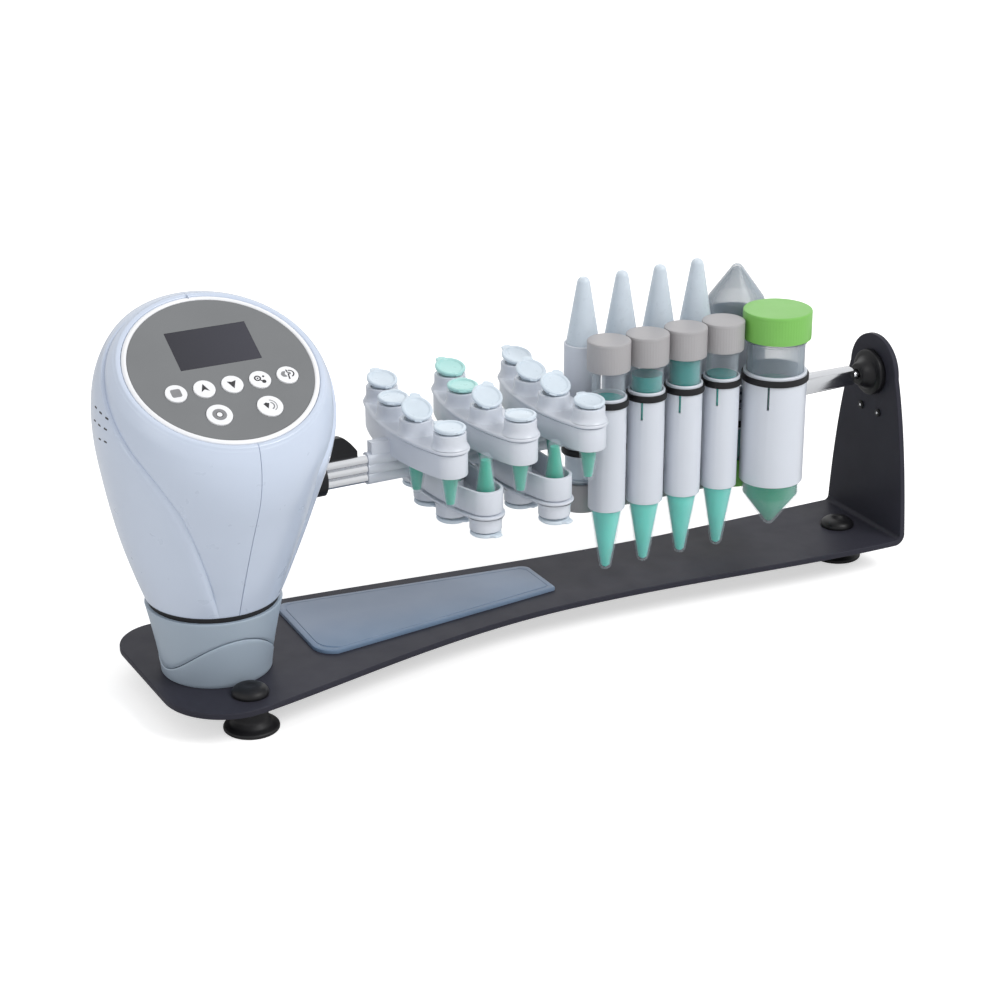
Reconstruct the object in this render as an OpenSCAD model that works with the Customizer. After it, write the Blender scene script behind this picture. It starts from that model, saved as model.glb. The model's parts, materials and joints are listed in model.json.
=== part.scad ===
// Tube rotator: a drive head on a pedestal and an end support carry a turning bar
// with racks for small tubes and clip-on holders for two sizes of conical tube.
// The rotor axis lies along X. Heights are above the table.

/* [Stand] */
// Length from the plate's left end to the outside of the end support
stand_len = 408.7; // [395:0.1:450]
// Thickness of the bent sheet
sheet_t = 3; // [2:0.1:4]
// Height of the plate's upper face
plate_top = 17.3; // [15:0.1:22]
// Reach of the wide left end to the front of the axis
lobe_front = 52; // [46:0.5:60]
// Reach of the wide left end to the rear of the axis
lobe_back = 57; // [48:0.5:64]
// Reach of the waist to the front of the axis
waist_front = 20; // [16:0.5:30]
// Half width of the sheet where it turns up
bend_half_w = 32.5; // [28:0.5:38]
// Inner radius of the bend
bend_r = 2.6; // [1.5:0.1:5]
// Radius of the end support's rounded top
support_top_r = 19.2; // [16:0.1:24]

/* [Pad] */
// Length of the raised pad on the plate
pad_len = 135; // [100:1:150]
// Height of the pad above the plate
pad_h = 1.8; // [1:0.1:3]

/* [Feet] */
// Radius of a foot where it stands on the table
foot_r = 13.1; // [10:0.1:15]
// Radius of a foot's stem
foot_stem_r = 8; // [6:0.1:10]
// Distance of the left feet from the plate's left end
foot_inset_left = 36.3; // [32:0.1:42]
// Distance of the left feet to each side of the axis
foot_spread = 35.5; // [32:0.5:38]
// Distance of the right foot from the end support's outside
foot_inset_right = 20; // [20:0.5:40]
// Height of the domed plug above the plate
plug_h = 4.4; // [3:0.1:6]

/* [Pedestal] */
// Radius of the pedestal on the plate
pedestal_r = 25.9; // [23:0.1:28]
// Radius of the pedestal under the head
neck_r = 32.2; // [30:0.1:34]
// Wall of the pedestal
pedestal_wall = 3; // [2:0.1:4]
// Height of the open joint between pedestal and head
neck_gap = 1.6; // [1:0.1:3]

/* [Head] */
// Distance of the head's centre from the plate's left end
head_inset = 34.3; // [33:0.1:45]
// Height of the head's lower edge
head_bottom = 54; // [50:0.5:58]
// Wall of the two head shells
head_wall = 2.6; // [2:0.1:3.5]
// Tilt of the control panel
panel_tilt = 30; // [24:1:34]
// Radius of the control panel
panel_r = 41.2; // [40:0.1:42]
// Thickness of the control panel
panel_t = 1.3; // [1:0.1:2]

/* [Display and buttons] */
// Width of the display window
window_w = 38; // [30:0.5:42]
// Height of the display window
window_h = 22.6; // [18:0.1:24]
// Radius of the five small buttons
small_button_r = 4.9; // [4:0.1:5.2]
// Spacing of the five small buttons
small_button_pitch = 13; // [12.4:0.1:13.4]
// Radius of the two large buttons
large_button_r = 5.8; // [5:0.1:6.2]
// Travel of every button
button_travel = 0.8; // [0.4:0.1:1]

/* [Drive] */
// Height of the rotor axis
axis_z = 101.1; // [98:0.1:104]
// Gear module, millimetres of pitch diameter for each tooth
gear_module = 1; // [1:0.05:1.05]
// Teeth of the drive gear
gear_teeth = 45; // [43:1:45]
// Teeth of the motor's pinion
pinion_teeth = 15; // [15:1:17]
// Width of the gears' teeth
gear_w = 6; // [4:0.5:7]
// Radius of the output shaft
shaft_r = 4; // [3:0.1:4.5]
// Outer radius of the output shaft's bearings
bearing_r = 8; // [7:0.1:8.5]
// Width of the output shaft's bearings
bearing_w = 5; // [4:0.5:5.5]
// Radial gap of a running fit
running_gap = 0.03; // [0.01:0.01:0.1]

/* [Rotor bar] */
// Radius of each of the bar's three lobes
lobe_r = 2.4; // [2:0.05:2.5]
// Spacing of the bar's lobes
lobe_pitch = 4.5; // [4:0.05:4.8]
// Wall of the clips round the bar
clip_wall = 1; // [0.8:0.05:1.2]
// Radial gap between the bar and what is clipped to it
clip_gap = 0.08; // [0.05:0.01:0.1]
// Radius of the drive hub's dome
hub_r = 17.5; // [14:0.5:18]
// Length of the drive hub
hub_len = 24; // [21:0.5:24.5]
// Radius of the pin at the bar's far end
pin_r = 2; // [1.5:0.1:2.5]

/* [Racks for small tubes] */
// Distance from the drive hub's face to the first rack
first_rack = 30.2; // [29.5:0.1:31]
// Spacing of the racks along the bar
rack_pitch = 36.9; // [36:0.1:38]
// Offset of a lower rack from the upper rack on its left
lower_shift = 18.45; // [18:0.05:19]
// Spacing of the four tubes in a rack
rack_tube_pitch = 24; // [23:0.5:25]
// Step of the two inner tubes towards the head
rack_bow = 5.5; // [4:0.5:6]
// Radius of the rack's skirt about its end tubes
skirt_r = 8.3; // [8:0.1:8.6]
// Wall of the rack's skirt
skirt_wall = 1.6; // [1.2:0.1:2]
// Radius of the bores for small tubes
rack_bore_r = 5.5; // [5.3:0.1:5.9]

/* [Holders for conical tubes] */
// Distance from the drive hub's face to the first thin holder
first_thin = 128.4; // [128:0.1:129]
// Spacing of the thin holders along the bar
thin_pitch = 21.8; // [21.8:0.1:23]
// Radius of a thin tube
thin_tube_r = 8.2; // [7.8:0.1:8.4]
// Wall of a thin sleeve
thin_wall = 0.9; // [0.7:0.1:1.2]
// Distance of a thin tube's centre from the rotor axis
thin_offset = 12.6; // [12.4:0.1:13.5]
// Distance from the last thin holder to the thick one
thick_step = 28; // [28:0.1:30]
// Radius of a thick tube
thick_tube_r = 14.5; // [14:0.1:14.8]
// Wall of a thick sleeve
thick_wall = 1.4; // [1:0.1:1.6]
// Distance of a thick tube's centre from the rotor axis
thick_offset = 18.6; // [18.6:0.1:19.5]
// Height of a sleeve's mouth above the rotor axis
sleeve_top = 19.5; // [18:0.5:21]
// Depth of a sleeve below the rotor axis
sleeve_bottom = 39; // [36:0.5:39]
// Gap between a tube and its sleeve
sleeve_gap = 0.1; // [0.05:0.01:0.1]
// Height of the retaining bands
band_h = 3.4; // [2.5:0.1:4]
// Thickness of the retaining bands
band_t = 0.9; // [0.6:0.1:1]

/* [Hidden] */
$fn = 64;
tiny = 0.01;

// Colours
sheet_colour = "#43444b";
black_colour = "#1d1d20";
pad_colour = "#7e8da0";
pedestal_colour = "#93a3b1";
head_colour = "#cfd9ea";
white_colour = "#f1f2f4";
panel_colour = "#858789";
screen_colour = "#3f3f48";
board_colour = "#2f6b4a";
steel_colour = "#c9ccd0";
holder_colour = "#dcdfe8";
frosted_colour = "#c5d2e2";
sample_colour = "#5fb8a4";
thin_cap_colour = "#b5b2b3";
thick_cap_colour = "#7cc25a";

// The head is a stack of tilted ovals: each row gives the oval's centre behind the axis,
// its centre's height above the head's lower edge, its tilt, its half width and half depth.
rim_y = -23.5;
rim_z = 117;
HEAD_ROWS = [
    [0, 0, 0, 31.2, 31.2],
    [-0.5, 13, 2, 36, 36],
    [-2, 34, 5, 42.6, 43],
    [-5, 58, 11, 48.5, 49.5],
    [-9, 81, 18, 53, 55],
    [-14, 99, 25, 54, 56],
    [-19, 111, panel_tilt - 1, 51, 53],
    [rim_y, rim_z, panel_tilt, panel_r + 5.4, panel_r + 5.4]
];
head_steps = 20;
head_segments = 26;

function spline(a, b, c, d, t) =
    0.5 * (2 * b + (c - a) * t + (2 * a - 5 * b + 4 * c - d) * t * t
        + (3 * b - a - 3 * c + d) * t * t * t);
function row(i) = HEAD_ROWS[max(0, min(len(HEAD_ROWS) - 1, i))];
function oval_at(t) =
    let (s = t * (len(HEAD_ROWS) - 1), i = min(floor(s), len(HEAD_ROWS) - 2))
    spline(row(i - 1), row(i), row(i + 1), row(i + 2), s - i);

// Places along the length. The head overhangs the plate's left end, and the box that
// holds both is centred on the origin.
head_half_w = max([for (k = [0:head_steps]) oval_at(k / head_steps)[3]]);
overhang = max(0, head_half_w - head_inset);
left_x = (overhang - stand_len) / 2;
right_x = (overhang + stand_len) / 2;
head_x = left_x + head_inset;
support_x = right_x - sheet_t;
plate_bottom = plate_top - sheet_t;

function oval_point(oval, angle, wall) =
    let (across = (oval[4] - wall) * sin(angle))
    [
        head_x + (oval[3] - wall) * cos(angle),
        oval[0] + across * cos(oval[2]),
        head_bottom + oval[1] + across * sin(oval[2])
    ];

// The axis stands off the middle, so that the box is centred on the origin in depth too.
head_front = max([for (k = [0:head_steps]) -oval_point(oval_at(k / head_steps), -90, 0)[1]]);
axis_y = (head_front - lobe_back) / 2;

// Panel frame: origin at the rim's centre, x to the right, y up the slope
panel_y = rim_y;
panel_z = head_bottom + rim_z;
ring_wall = 3.5;
ledge_w = 1.7;
window_place = [1, 13.4];
small_button_row = -10.2;
large_button_row = -25.7;
large_button_half_pitch = 11.75;
button_shift = 1.2;
button_gap = 0.15;
button_proud = 0.7;
flange_step = 0.8;
flange_t = 0.9;
board_depth = 6.6;
board_t = 1.6;
board_r = 38.2;
post_r = 2.3;
post_place = 25;
switch_h = 2.2;

// Gear train
gear_distance = gear_module * (gear_teeth + pinion_teeth) / 2;
pinion_z = axis_z + gear_distance;
gear_x = head_x + 13;
left_plate_x = head_x + 3;
right_plate_x = gear_x + gear_w + 6;
plate_w = 3;
motor_r = 16;
motor_len = 38;
nose_r = 6;
motor_shaft_r = 2;
pillar_r = 2.5;

// Bar, hub and far end
hub_x = head_x + 50.9;
hub_face = hub_x + hub_len;
bar_start = hub_x + 5;
hub_boss_r = 9;
bar_half_h = lobe_pitch + lobe_r;
hub_foot = bar_half_h - 0.5;
ferrule_len = 44;
pin_len = 12;
boss_len = 10;
boss_r = 12;
boss_gap = 3;
ferrule_end = support_x - boss_len - boss_gap;
bar_end = ferrule_end - ferrule_len;
ferrule_half_w = 3;
ferrule_h = 11;
ferrule_end_h = 9.5;
end_bearing_r = 4.5;
end_bearing_w = 4;
clip_r = lobe_r + clip_gap + clip_wall;
clip_half_h = lobe_pitch + clip_r;

// Racks, with heights above the rotor axis
rack_x = [for (i = [0:2]) hub_face + first_rack + i * rack_pitch];
lower_x = [for (i = [0:1]) rack_x[i] + lower_shift];
skirt_bottom = 5;
skirt_top = 16.5;
groove_h = 0.5;
lid_top = 19;
collar_top = 25.8;
collar_r = rack_bore_r + 2.2;
lip = 1;
clip_reach_left = 26;
clip_reach_right = rack_pitch - clip_reach_left - 0.4;
riser_half_w = 2.4;
riser_h = 13;
small_tube_r = rack_bore_r - 0.1;
small_tube_len = 37.3;
small_cap_r = 6.8;
small_cap_t = 2.2;

// Conical tubes, with heights above the rotor axis
thin_x = [for (i = [0:3]) hub_face + first_thin + i * thin_pitch];
thick_x = thin_x[3] + thick_step;
thin_tip = 72.3;
thin_cone = 33;
thin_tip_r = 3;
thin_cap_top = 47.7;
thin_cap_h = 14.7;
thin_cap_r = 10.7;
thick_tip = 64.1;
thick_cone = 17.6;
thick_tip_r = 3;
thick_cap_top = 50.9;
thick_cap_h = 14.4;
thick_cap_r = 17.2;
tube_wall = 1;
cap_top_t = 2;
cap_gap = 0.1;
ring_below_cap = 1.2;
thin_level = 28;
thick_level = 12;
rear_level = 15;
bridge_half_w = 6;
bridge_half_h = 9;
band_middle = sleeve_top - 3;
slit_len = 8;

module placed() translate([0, axis_y, 0]) children();
module on_axis(x = 0, turn = 0) translate([x, 0, axis_z]) rotate([turn, 0, 0]) children();
module along_x(x) translate([x, 0, 0]) rotate([0, 90, 0]) children();
module on_panel() translate([head_x, panel_y, panel_z]) rotate([panel_tilt, 0, 0]) children();
module centred_box(size) translate(-size / 2) cube(size);

// Curves for the sheet's outline
function bezier(a, b, c, d, t) =
    a * pow(1 - t, 3) + 3 * b * t * pow(1 - t, 2) + 3 * c * t * t * (1 - t) + d * t * t * t;
function curve(a, b, c, d, steps) = [for (i = [1:steps]) bezier(a, b, c, d, i / steps)];
function arc(centre, r, from, to, steps) =
    [for (i = [0:steps]) let (g = from + (to - from) * i / steps) centre + r * [cos(g), sin(g)]];

front_corner_r = 31;
back_corner_r = 23;
bend_x = right_x - sheet_t - bend_r;
front_lobe = [left_x + front_corner_r + 2, -lobe_front];
waist = [left_x + 214, -waist_front];
back_lobe = [left_x + back_corner_r, lobe_back];
back_waist = [left_x + 314, bend_half_w + 0.5];

module sheet_outline() polygon(concat(
    arc([left_x + back_corner_r, lobe_back - back_corner_r], back_corner_r, 90, 180, 10),
    arc([left_x + front_corner_r, front_corner_r - lobe_front], front_corner_r, 180, 270, 12),
    curve(front_lobe, front_lobe + [46, 8], waist - [70, 0], waist, 16),
    curve(waist, waist + [70, 0], [bend_x - 60, -bend_half_w], [bend_x, -bend_half_w], 12),
    [[bend_x, bend_half_w]],
    curve([bend_x, bend_half_w], [bend_x - 30, bend_half_w], back_waist + [30, 0], back_waist, 6),
    curve(back_waist, back_waist - [80, -1], back_lobe + [80, 0], back_lobe, 16)
));

module support_outline() {
    foot_z = plate_top + bend_r;
    shoulder = axis_z + 1;
    left_side = curve([bend_half_w, foot_z], [bend_half_w - 2, foot_z + 28],
        [support_top_r + 7, shoulder - 22], [support_top_r, shoulder], 14);
    right_side = [for (i = [13:-1:0]) [-left_side[i][0], left_side[i][1]]];
    polygon(concat(
        [[bend_half_w, foot_z]],
        left_side,
        arc([0, shoulder], support_top_r, 6, 174, 28),
        right_side,
        [[-bend_half_w, foot_z]]
    ));
}

foot_places = [
    [left_x + foot_inset_left, -foot_spread],
    [left_x + foot_inset_left, foot_spread],
    [right_x - foot_inset_right, 0]
];
plug_shank_r = 3;
plug_hole_r = plug_shank_r + 0.1;
plug_depth = 6;
screw_r = 2;
screw_places = [for (g = [90, 210, 330]) [head_x + 17 * cos(g), 17 * sin(g)]];
support_screw_y = 7.3;
support_screw_z = axis_z - 20.7;
support_screw_r = 1.1;
boss_spigot_r = 6;

module base_plate() color(sheet_colour) placed() {
    difference() {
        union() {
            translate([0, 0, plate_bottom]) linear_extrude(sheet_t) sheet_outline();
            translate([bend_x, bend_half_w, plate_top + bend_r])
                rotate([90, 90, 0])
                rotate_extrude(angle = 90)
                translate([bend_r, 0]) square([sheet_t, 2 * bend_half_w]);
            translate([support_x, 0, 0])
                rotate([90, 0, 90]) linear_extrude(sheet_t) support_outline();
        }
        for (p = foot_places)
            translate([p[0], p[1], plate_bottom - 1]) cylinder(h = sheet_t + 2, r = plug_hole_r);
        for (p = screw_places)
            translate([p[0], p[1], plate_bottom - 1]) cylinder(h = sheet_t + 2, r = screw_r + 0.1);
        on_axis() along_x(support_x - 1) cylinder(h = sheet_t + 2, r = boss_spigot_r);
        for (y = [-support_screw_y, support_screw_y])
            translate([0, y, support_screw_z])
                along_x(support_x - 1) cylinder(h = sheet_t + 2, r = support_screw_r);
    }
}

pad_left = left_x + 80.5;
pad_corner = 6;

// A quadrilateral with round corners, from circles and the polygon between them
module rounded_corner_pad(inset) {
    left = pad_left + inset;
    right = pad_left + pad_len - inset;
    polygon(concat(
        arc([left + pad_corner + 2, 39 - inset], pad_corner, 84, 180, 8),
        arc([left + 11, -6 + inset], 11, 180, 258, 8),
        arc([right - 2, -0.5 + inset], 2, 285, 350, 4),
        arc([right - 5, 24.5 - inset], 5, 10, 84, 6)
    ));
}

module base_pad() color(pad_colour) placed() translate([0, 0, plate_top]) difference() {
    linear_extrude(pad_h) rounded_corner_pad(0);
    translate([0, 0, pad_h - 0.3]) linear_extrude(1) difference() {
        rounded_corner_pad(3);
        rounded_corner_pad(3.6);
    }
}

module rubber_feet() color(black_colour) placed() for (p = foot_places)
    translate(p) difference() {
        rotate_extrude() polygon(concat(
            [[0, 0], [foot_r - 0.8, 0], [foot_r, 0.8], [foot_r, 1.8]],
            curve([foot_r, 1.8], [foot_r - 3, 2.6], [foot_stem_r, 3.4], [foot_stem_r, 6.4], 6),
            [[foot_stem_r, plate_bottom - 3], [foot_stem_r + 1.6, plate_bottom - 1],
                [foot_stem_r + 1.6, plate_bottom], [0, plate_bottom]]
        ));
        translate([0, 0, plate_bottom - plug_depth]) cylinder(h = plug_depth + 1, r = plug_shank_r);
    }

module foot_plugs() color(black_colour) placed() for (p = foot_places)
    translate([p[0], p[1], plate_top]) {
        rotate_extrude() polygon(concat(
            [[0, 0], [foot_stem_r + 0.6, 0], [foot_stem_r + 0.6, 1.2]],
            curve([foot_stem_r + 0.6, 1.2], [foot_stem_r + 0.2, plug_h - 0.6],
                [foot_stem_r - 3, plug_h], [0, plug_h], 8)
        ));
        translate([0, 0, -sheet_t - plug_depth + 0.2])
            cylinder(h = sheet_t + plug_depth, r = plug_shank_r);
    }

// Pedestal: the joint between its two mouldings is a wave, high in front and behind
pedestal_top = head_bottom - neck_gap;
pedestal_h = pedestal_top - plate_top;
wave_high = 22.7;
wave_drop = 17;
wave_step = 0.35;

function pedestal_flank(extra) = [for (i = [0:8])
    let (t = i / 8)
    [pedestal_r + (neck_r - pedestal_r) * pow(t, 1.25) + extra, pedestal_h * t]];

module pedestal_blank(extra) rotate_extrude()
    polygon(concat([[0, 0]], pedestal_flank(extra), [[0, pedestal_h]]));

module below_wave() rotate([90, 0, 0]) linear_extrude(4 * neck_r, center = true)
    polygon(concat(
        [[2 * neck_r, -1], [-2 * neck_r, -1], [-2 * neck_r, 4]],
        [for (i = [-12:12])
            let (x = i / 12 * neck_r)
            [x, wave_high - wave_drop * pow(i / 12, 2)]],
        [[2 * neck_r, 4]]
    ));

module pedestal_lower() color(pedestal_colour) placed() translate([head_x, 0, plate_top])
    difference() {
        intersection() {
            pedestal_blank(0);
            below_wave();
        }
        translate([0, 0, pedestal_wall + 2])
            cylinder(h = pedestal_h, r = pedestal_r - pedestal_wall);
        for (p = screw_places)
            translate([p[0] - head_x, p[1], -1]) cylinder(h = 5.4, r = screw_r);
    }

module pedestal_upper() color(pedestal_colour) placed() translate([head_x, 0, plate_top])
    difference() {
        pedestal_blank(-wave_step);
        below_wave();
        translate([0, 0, -1])
            cylinder(h = pedestal_h - pedestal_wall, r = pedestal_r - pedestal_wall);
        translate([0, 0, pedestal_h - 8]) cylinder(h = 20, r = 9);
    }

module neck_ring() color(black_colour) placed() translate([head_x, 0, pedestal_top])
    difference() {
        cylinder(h = neck_gap, r = 30.2);
        translate([0, 0, -1]) cylinder(h = neck_gap + 2, r = 26);
    }

module screws() color(steel_colour) placed() {
    for (p = screw_places) translate([p[0], p[1], plate_bottom]) {
        translate([0, 0, -2.2]) cylinder(h = 2.2, r = 3.6);
        cylinder(h = sheet_t + 4, r = screw_r);
    }
    for (y = [-support_screw_y, support_screw_y]) translate([0, y, support_screw_z]) {
        along_x(support_x - 0.8) cylinder(h = 0.8, r = 1.9);
        along_x(support_x) cylinder(h = sheet_t, r = support_screw_r);
    }
}

module end_boss() color(black_colour) placed() on_axis() along_x(support_x - boss_len)
    difference() {
        union() {
            rotate_extrude() polygon(concat(
                [[0, 0], [4.2, 0]],
                curve([4.2, 0], [7.4, 0.4], [boss_r - 1.2, 3.5], [boss_r, boss_len - 1.6], 8),
                [[boss_r, boss_len], [0, boss_len]]
            ));
            cylinder(h = boss_len + sheet_t, r = boss_spigot_r);
        }
        translate([0, 0, -1]) cylinder(h = boss_len, r = pin_r + 0.6);
        translate([0, 0, 2]) cylinder(h = boss_len + 2, r = end_bearing_r);
    }

module bearing(inner_r, outer_r, w) difference() {
    cylinder(h = w, r = outer_r);
    translate([0, 0, -1]) cylinder(h = w + 2, r = inner_r + running_gap);
}

module bearings() color(steel_colour) placed() on_axis() {
    along_x(left_plate_x) bearing(shaft_r, bearing_r, bearing_w);
    along_x(right_plate_x) bearing(shaft_r, bearing_r, bearing_w);
    along_x(support_x - boss_len + 2) bearing(pin_r, end_bearing_r, end_bearing_w);
}

// Head shells: half a lofted wall, split on the head's centre plane
function two_triangles(q) = [[q[0], q[1], q[2]], [q[0], q[2], q[3]]];

module half_shell(first_angle) {
    n = head_steps;
    m = head_segments;
    ovals = [for (i = [0:n]) oval_at(i / n)];
    points = [for (wall = [0, head_wall], i = [0:n], j = [0:m])
        oval_point(ovals[i], first_angle + 180 * j / m, wall)];
    outer = function (i, j) i * (m + 1) + j;
    inner = function (i, j) (n + 1) * (m + 1) + i * (m + 1) + j;
    quads = concat(
        [for (i = [0:n - 1], j = [0:m - 1])
            [outer(i, j), outer(i + 1, j), outer(i + 1, j + 1), outer(i, j + 1)]],
        [for (i = [0:n - 1], j = [0:m - 1])
            [inner(i, j), inner(i, j + 1), inner(i + 1, j + 1), inner(i + 1, j)]],
        [for (j = [0:m - 1]) [outer(0, j), outer(0, j + 1), inner(0, j + 1), inner(0, j)]],
        [for (j = [0:m - 1]) [outer(n, j + 1), outer(n, j), inner(n, j), inner(n, j + 1)]],
        [for (i = [0:n - 1]) [outer(i + 1, 0), outer(i, 0), inner(i, 0), inner(i + 1, 0)]],
        [for (i = [0:n - 1]) [outer(i, m), outer(i + 1, m), inner(i + 1, m), inner(i, m)]]
    );
    polyhedron(points, [for (q = quads, t = two_triangles(q)) t]);
}

inlet_place = 15;
inlet_z = head_bottom + 22;
inlet_face = 37;
switch_w = 12.6;
switch_h_body = 19;
socket_r = 5.5;
flange_over = 1.2;
socket_flange_over = 1.5;
flange_depth = 1.6;
vent_rows = 4;

module head_left_shell() color(head_colour) placed() difference() {
    half_shell(90);
    translate([head_x - inlet_place, inlet_face - 6, inlet_z])
        centred_box([switch_w + 0.2, 20, switch_h_body + 0.2]);
    translate([head_x - inlet_place, inlet_face - flange_depth + 5, inlet_z])
        centred_box([switch_w + 2 * flange_over + 0.2, 10, switch_h_body + 2 * flange_over + 0.2]);
    for (i = [0:vent_rows - 1])
        translate([head_x - 48, -17 - 3.4 * i, head_bottom + 92 - 7 * i])
            rotate([0, 90, 0]) cylinder(h = 16, r = 1, center = true);
}

module head_right_shell() color(head_colour) placed() difference() {
    half_shell(-90);
    translate([head_x + inlet_place, inlet_face - 16, inlet_z])
        rotate([-90, 0, 0]) cylinder(h = 30, r = socket_r + 0.1);
    translate([head_x + inlet_place, inlet_face - flange_depth, inlet_z])
        rotate([-90, 0, 0]) cylinder(h = 10, r = socket_r + socket_flange_over + 0.1);
    on_axis() along_x(head_x + 30) cylinder(h = 40, r = shaft_r + 2);
}

module bezel_ring() color(white_colour) placed() on_panel() rotate_extrude() polygon([
    [panel_r - ledge_w, -panel_t - 1.4], [panel_r + ring_wall - 0.9, -panel_t - 1.4],
    [panel_r + ring_wall - 0.9, 0.2], [panel_r + ring_wall - 1.7, 1.1],
    [panel_r + 1, 1.1], [panel_r + 0.1, 0.2],
    [panel_r + 0.1, -panel_t], [panel_r - ledge_w, -panel_t]
]);

small_buttons = [for (i = [-2:2]) [i * small_button_pitch + button_shift, small_button_row]];
large_buttons = [for (s = [-1, 1])
    [s * large_button_half_pitch + button_shift, large_button_row]];

module control_panel() color(panel_colour) placed() on_panel() difference() {
    union() {
        translate([0, 0, -panel_t]) cylinder(h = panel_t, r = panel_r);
        for (x = [-post_place, post_place], y = [-post_place, post_place])
            translate([x, y, -board_depth]) cylinder(h = board_depth - tiny, r = post_r, $fn = 32);
    }
    for (p = small_buttons)
        translate([p[0], p[1], -panel_t - 1]) cylinder(h = 9, r = small_button_r + button_gap);
    for (p = large_buttons)
        translate([p[0], p[1], -panel_t - 1]) cylinder(h = 9, r = large_button_r + button_gap);
    translate([window_place[0], window_place[1], 0]) centred_box([window_w, window_h, 9]);
}

module lcd_window() color(screen_colour) placed() on_panel()
    translate([window_place[0], window_place[1], -panel_t / 2])
    centred_box([window_w, window_h, panel_t]);

module lcd_module() color(steel_colour) placed() on_panel()
    translate([window_place[0], window_place[1], -(board_depth + panel_t) / 2])
    centred_box([window_w + 4, window_h + 4, board_depth - panel_t]);

module control_board() color(board_colour) placed() on_panel() union() {
    translate([0, 0, -board_depth - board_t]) cylinder(h = board_t, r = board_r);
    for (p = concat(small_buttons, large_buttons))
        translate([p[0], p[1], -board_depth + switch_h / 2]) centred_box([5, 5, switch_h]);
    translate([-12, -2.6, -board_depth - board_t - 2]) centred_box([14, 10, 4]);
}

// A button's cap, its flange behind the panel and its stem over a switch on the board
module button(place, r) color(white_colour) placed() on_panel()
    translate([place[0], place[1], 0]) rotate_extrude() polygon([
        [0, -board_depth + switch_h + button_travel + 0.15],
        [1.6, -board_depth + switch_h + button_travel + 0.15],
        [1.6, -panel_t - flange_t - 0.1], [r + flange_step, -panel_t - flange_t - 0.1],
        [r + flange_step, -panel_t - 0.1], [r, -panel_t - 0.1],
        [r, button_proud - 0.4], [r - 0.4, button_proud], [0, button_proud]
    ]);

module button_stop() button(small_buttons[0], small_button_r);
module button_up() button(small_buttons[1], small_button_r);
module button_down() button(small_buttons[2], small_button_r);
module button_mode() button(small_buttons[3], small_button_r);
module button_timer() button(small_buttons[4], small_button_r);
module button_power() button(large_buttons[0], large_button_r);
module button_run() button(large_buttons[1], large_button_r);

// Motor with its gear stage, held by the bracket's left plate
module gear_motor() color(steel_colour) placed() translate([0, 0, pinion_z]) difference() {
    union() {
        along_x(left_plate_x - motor_len) cylinder(h = 18, r = motor_r - 2.5);
        along_x(left_plate_x - motor_len + 18) cylinder(h = motor_len - 18, r = motor_r);
        along_x(left_plate_x - 1) cylinder(h = plate_w + 1, r = nose_r);
        along_x(left_plate_x - motor_len - 2) cylinder(h = 3, r = 4);
    }
    along_x(left_plate_x - 12) cylinder(h = 30, r = motor_shaft_r + running_gap);
}

pillar_places = [[-14, -23], [14, -23], [-18, 44], [18, 44]];

module plate_outline() polygon([
    [-18, -27], [18, -27], [22, 30], [22, 48], [-22, 48], [-22, 30]
]);

module motor_bracket() color(steel_colour) placed() difference() {
    union() {
        on_axis() rotate([90, 0, 90]) translate([0, 0, left_plate_x])
            linear_extrude(plate_w) plate_outline();
        on_axis() rotate([90, 0, 90]) translate([0, 0, right_plate_x])
            linear_extrude(plate_w) plate_outline();
        for (p = pillar_places) translate([0, p[0], axis_z + p[1]])
            along_x(left_plate_x) cylinder(h = right_plate_x - left_plate_x, r = pillar_r);
        on_axis() along_x(left_plate_x) cylinder(h = bearing_w, r = bearing_r + 2);
        on_axis() along_x(right_plate_x) cylinder(h = bearing_w, r = bearing_r + 2);
        translate([left_plate_x, -14, pedestal_top])
            cube([plate_w, 28, axis_z - 20 - pedestal_top]);
        translate([left_plate_x - 20, -14, pedestal_top]) cube([20 + plate_w, 28, plate_w]);
    }
    on_axis() along_x(left_plate_x - 1) cylinder(h = 60, r = bearing_r);
    translate([0, 0, pinion_z]) along_x(left_plate_x - 1) cylinder(h = plate_w + 2, r = nose_r);
}

module power_socket() color(black_colour) placed()
    translate([head_x + inlet_place, inlet_face, inlet_z]) rotate([-90, 0, 0]) union() {
        difference() {
            union() {
                translate([0, 0, -13]) cylinder(h = 13, r = socket_r);
                translate([0, 0, -flange_depth])
                    cylinder(h = flange_depth, r = socket_r + socket_flange_over);
            }
            translate([0, 0, -9.5]) cylinder(h = 20, r = 3.15);
        }
        translate([0, 0, -10]) cylinder(h = 8, r = 1);
    }

rocker_w = 10;
rocker_half_h = 7.8;
rocker_tilt = 7;
rocker_pin_r = 1;
pocket_w = rocker_w + 0.6;
pocket_h = 2 * rocker_half_h + 1.4;
pivot_depth = 2;

module switch_frame() color(black_colour) placed()
    translate([head_x - inlet_place, inlet_face, inlet_z]) difference() {
        union() {
            translate([0, -7.5, 0]) centred_box([switch_w, 15, switch_h_body]);
            translate([0, -flange_depth / 2, 0]) centred_box([
                switch_w + 2 * flange_over, flange_depth, switch_h_body + 2 * flange_over]);
        }
        translate([0, -3, 0]) centred_box([pocket_w, 16, pocket_h]);
        along_pivot(switch_w + 4) cylinder(h = switch_w + 4, r = rocker_pin_r + running_gap);
    }

module along_pivot(length) translate([-length / 2, -pivot_depth, 0]) rotate([0, 90, 0]) children();

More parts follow.
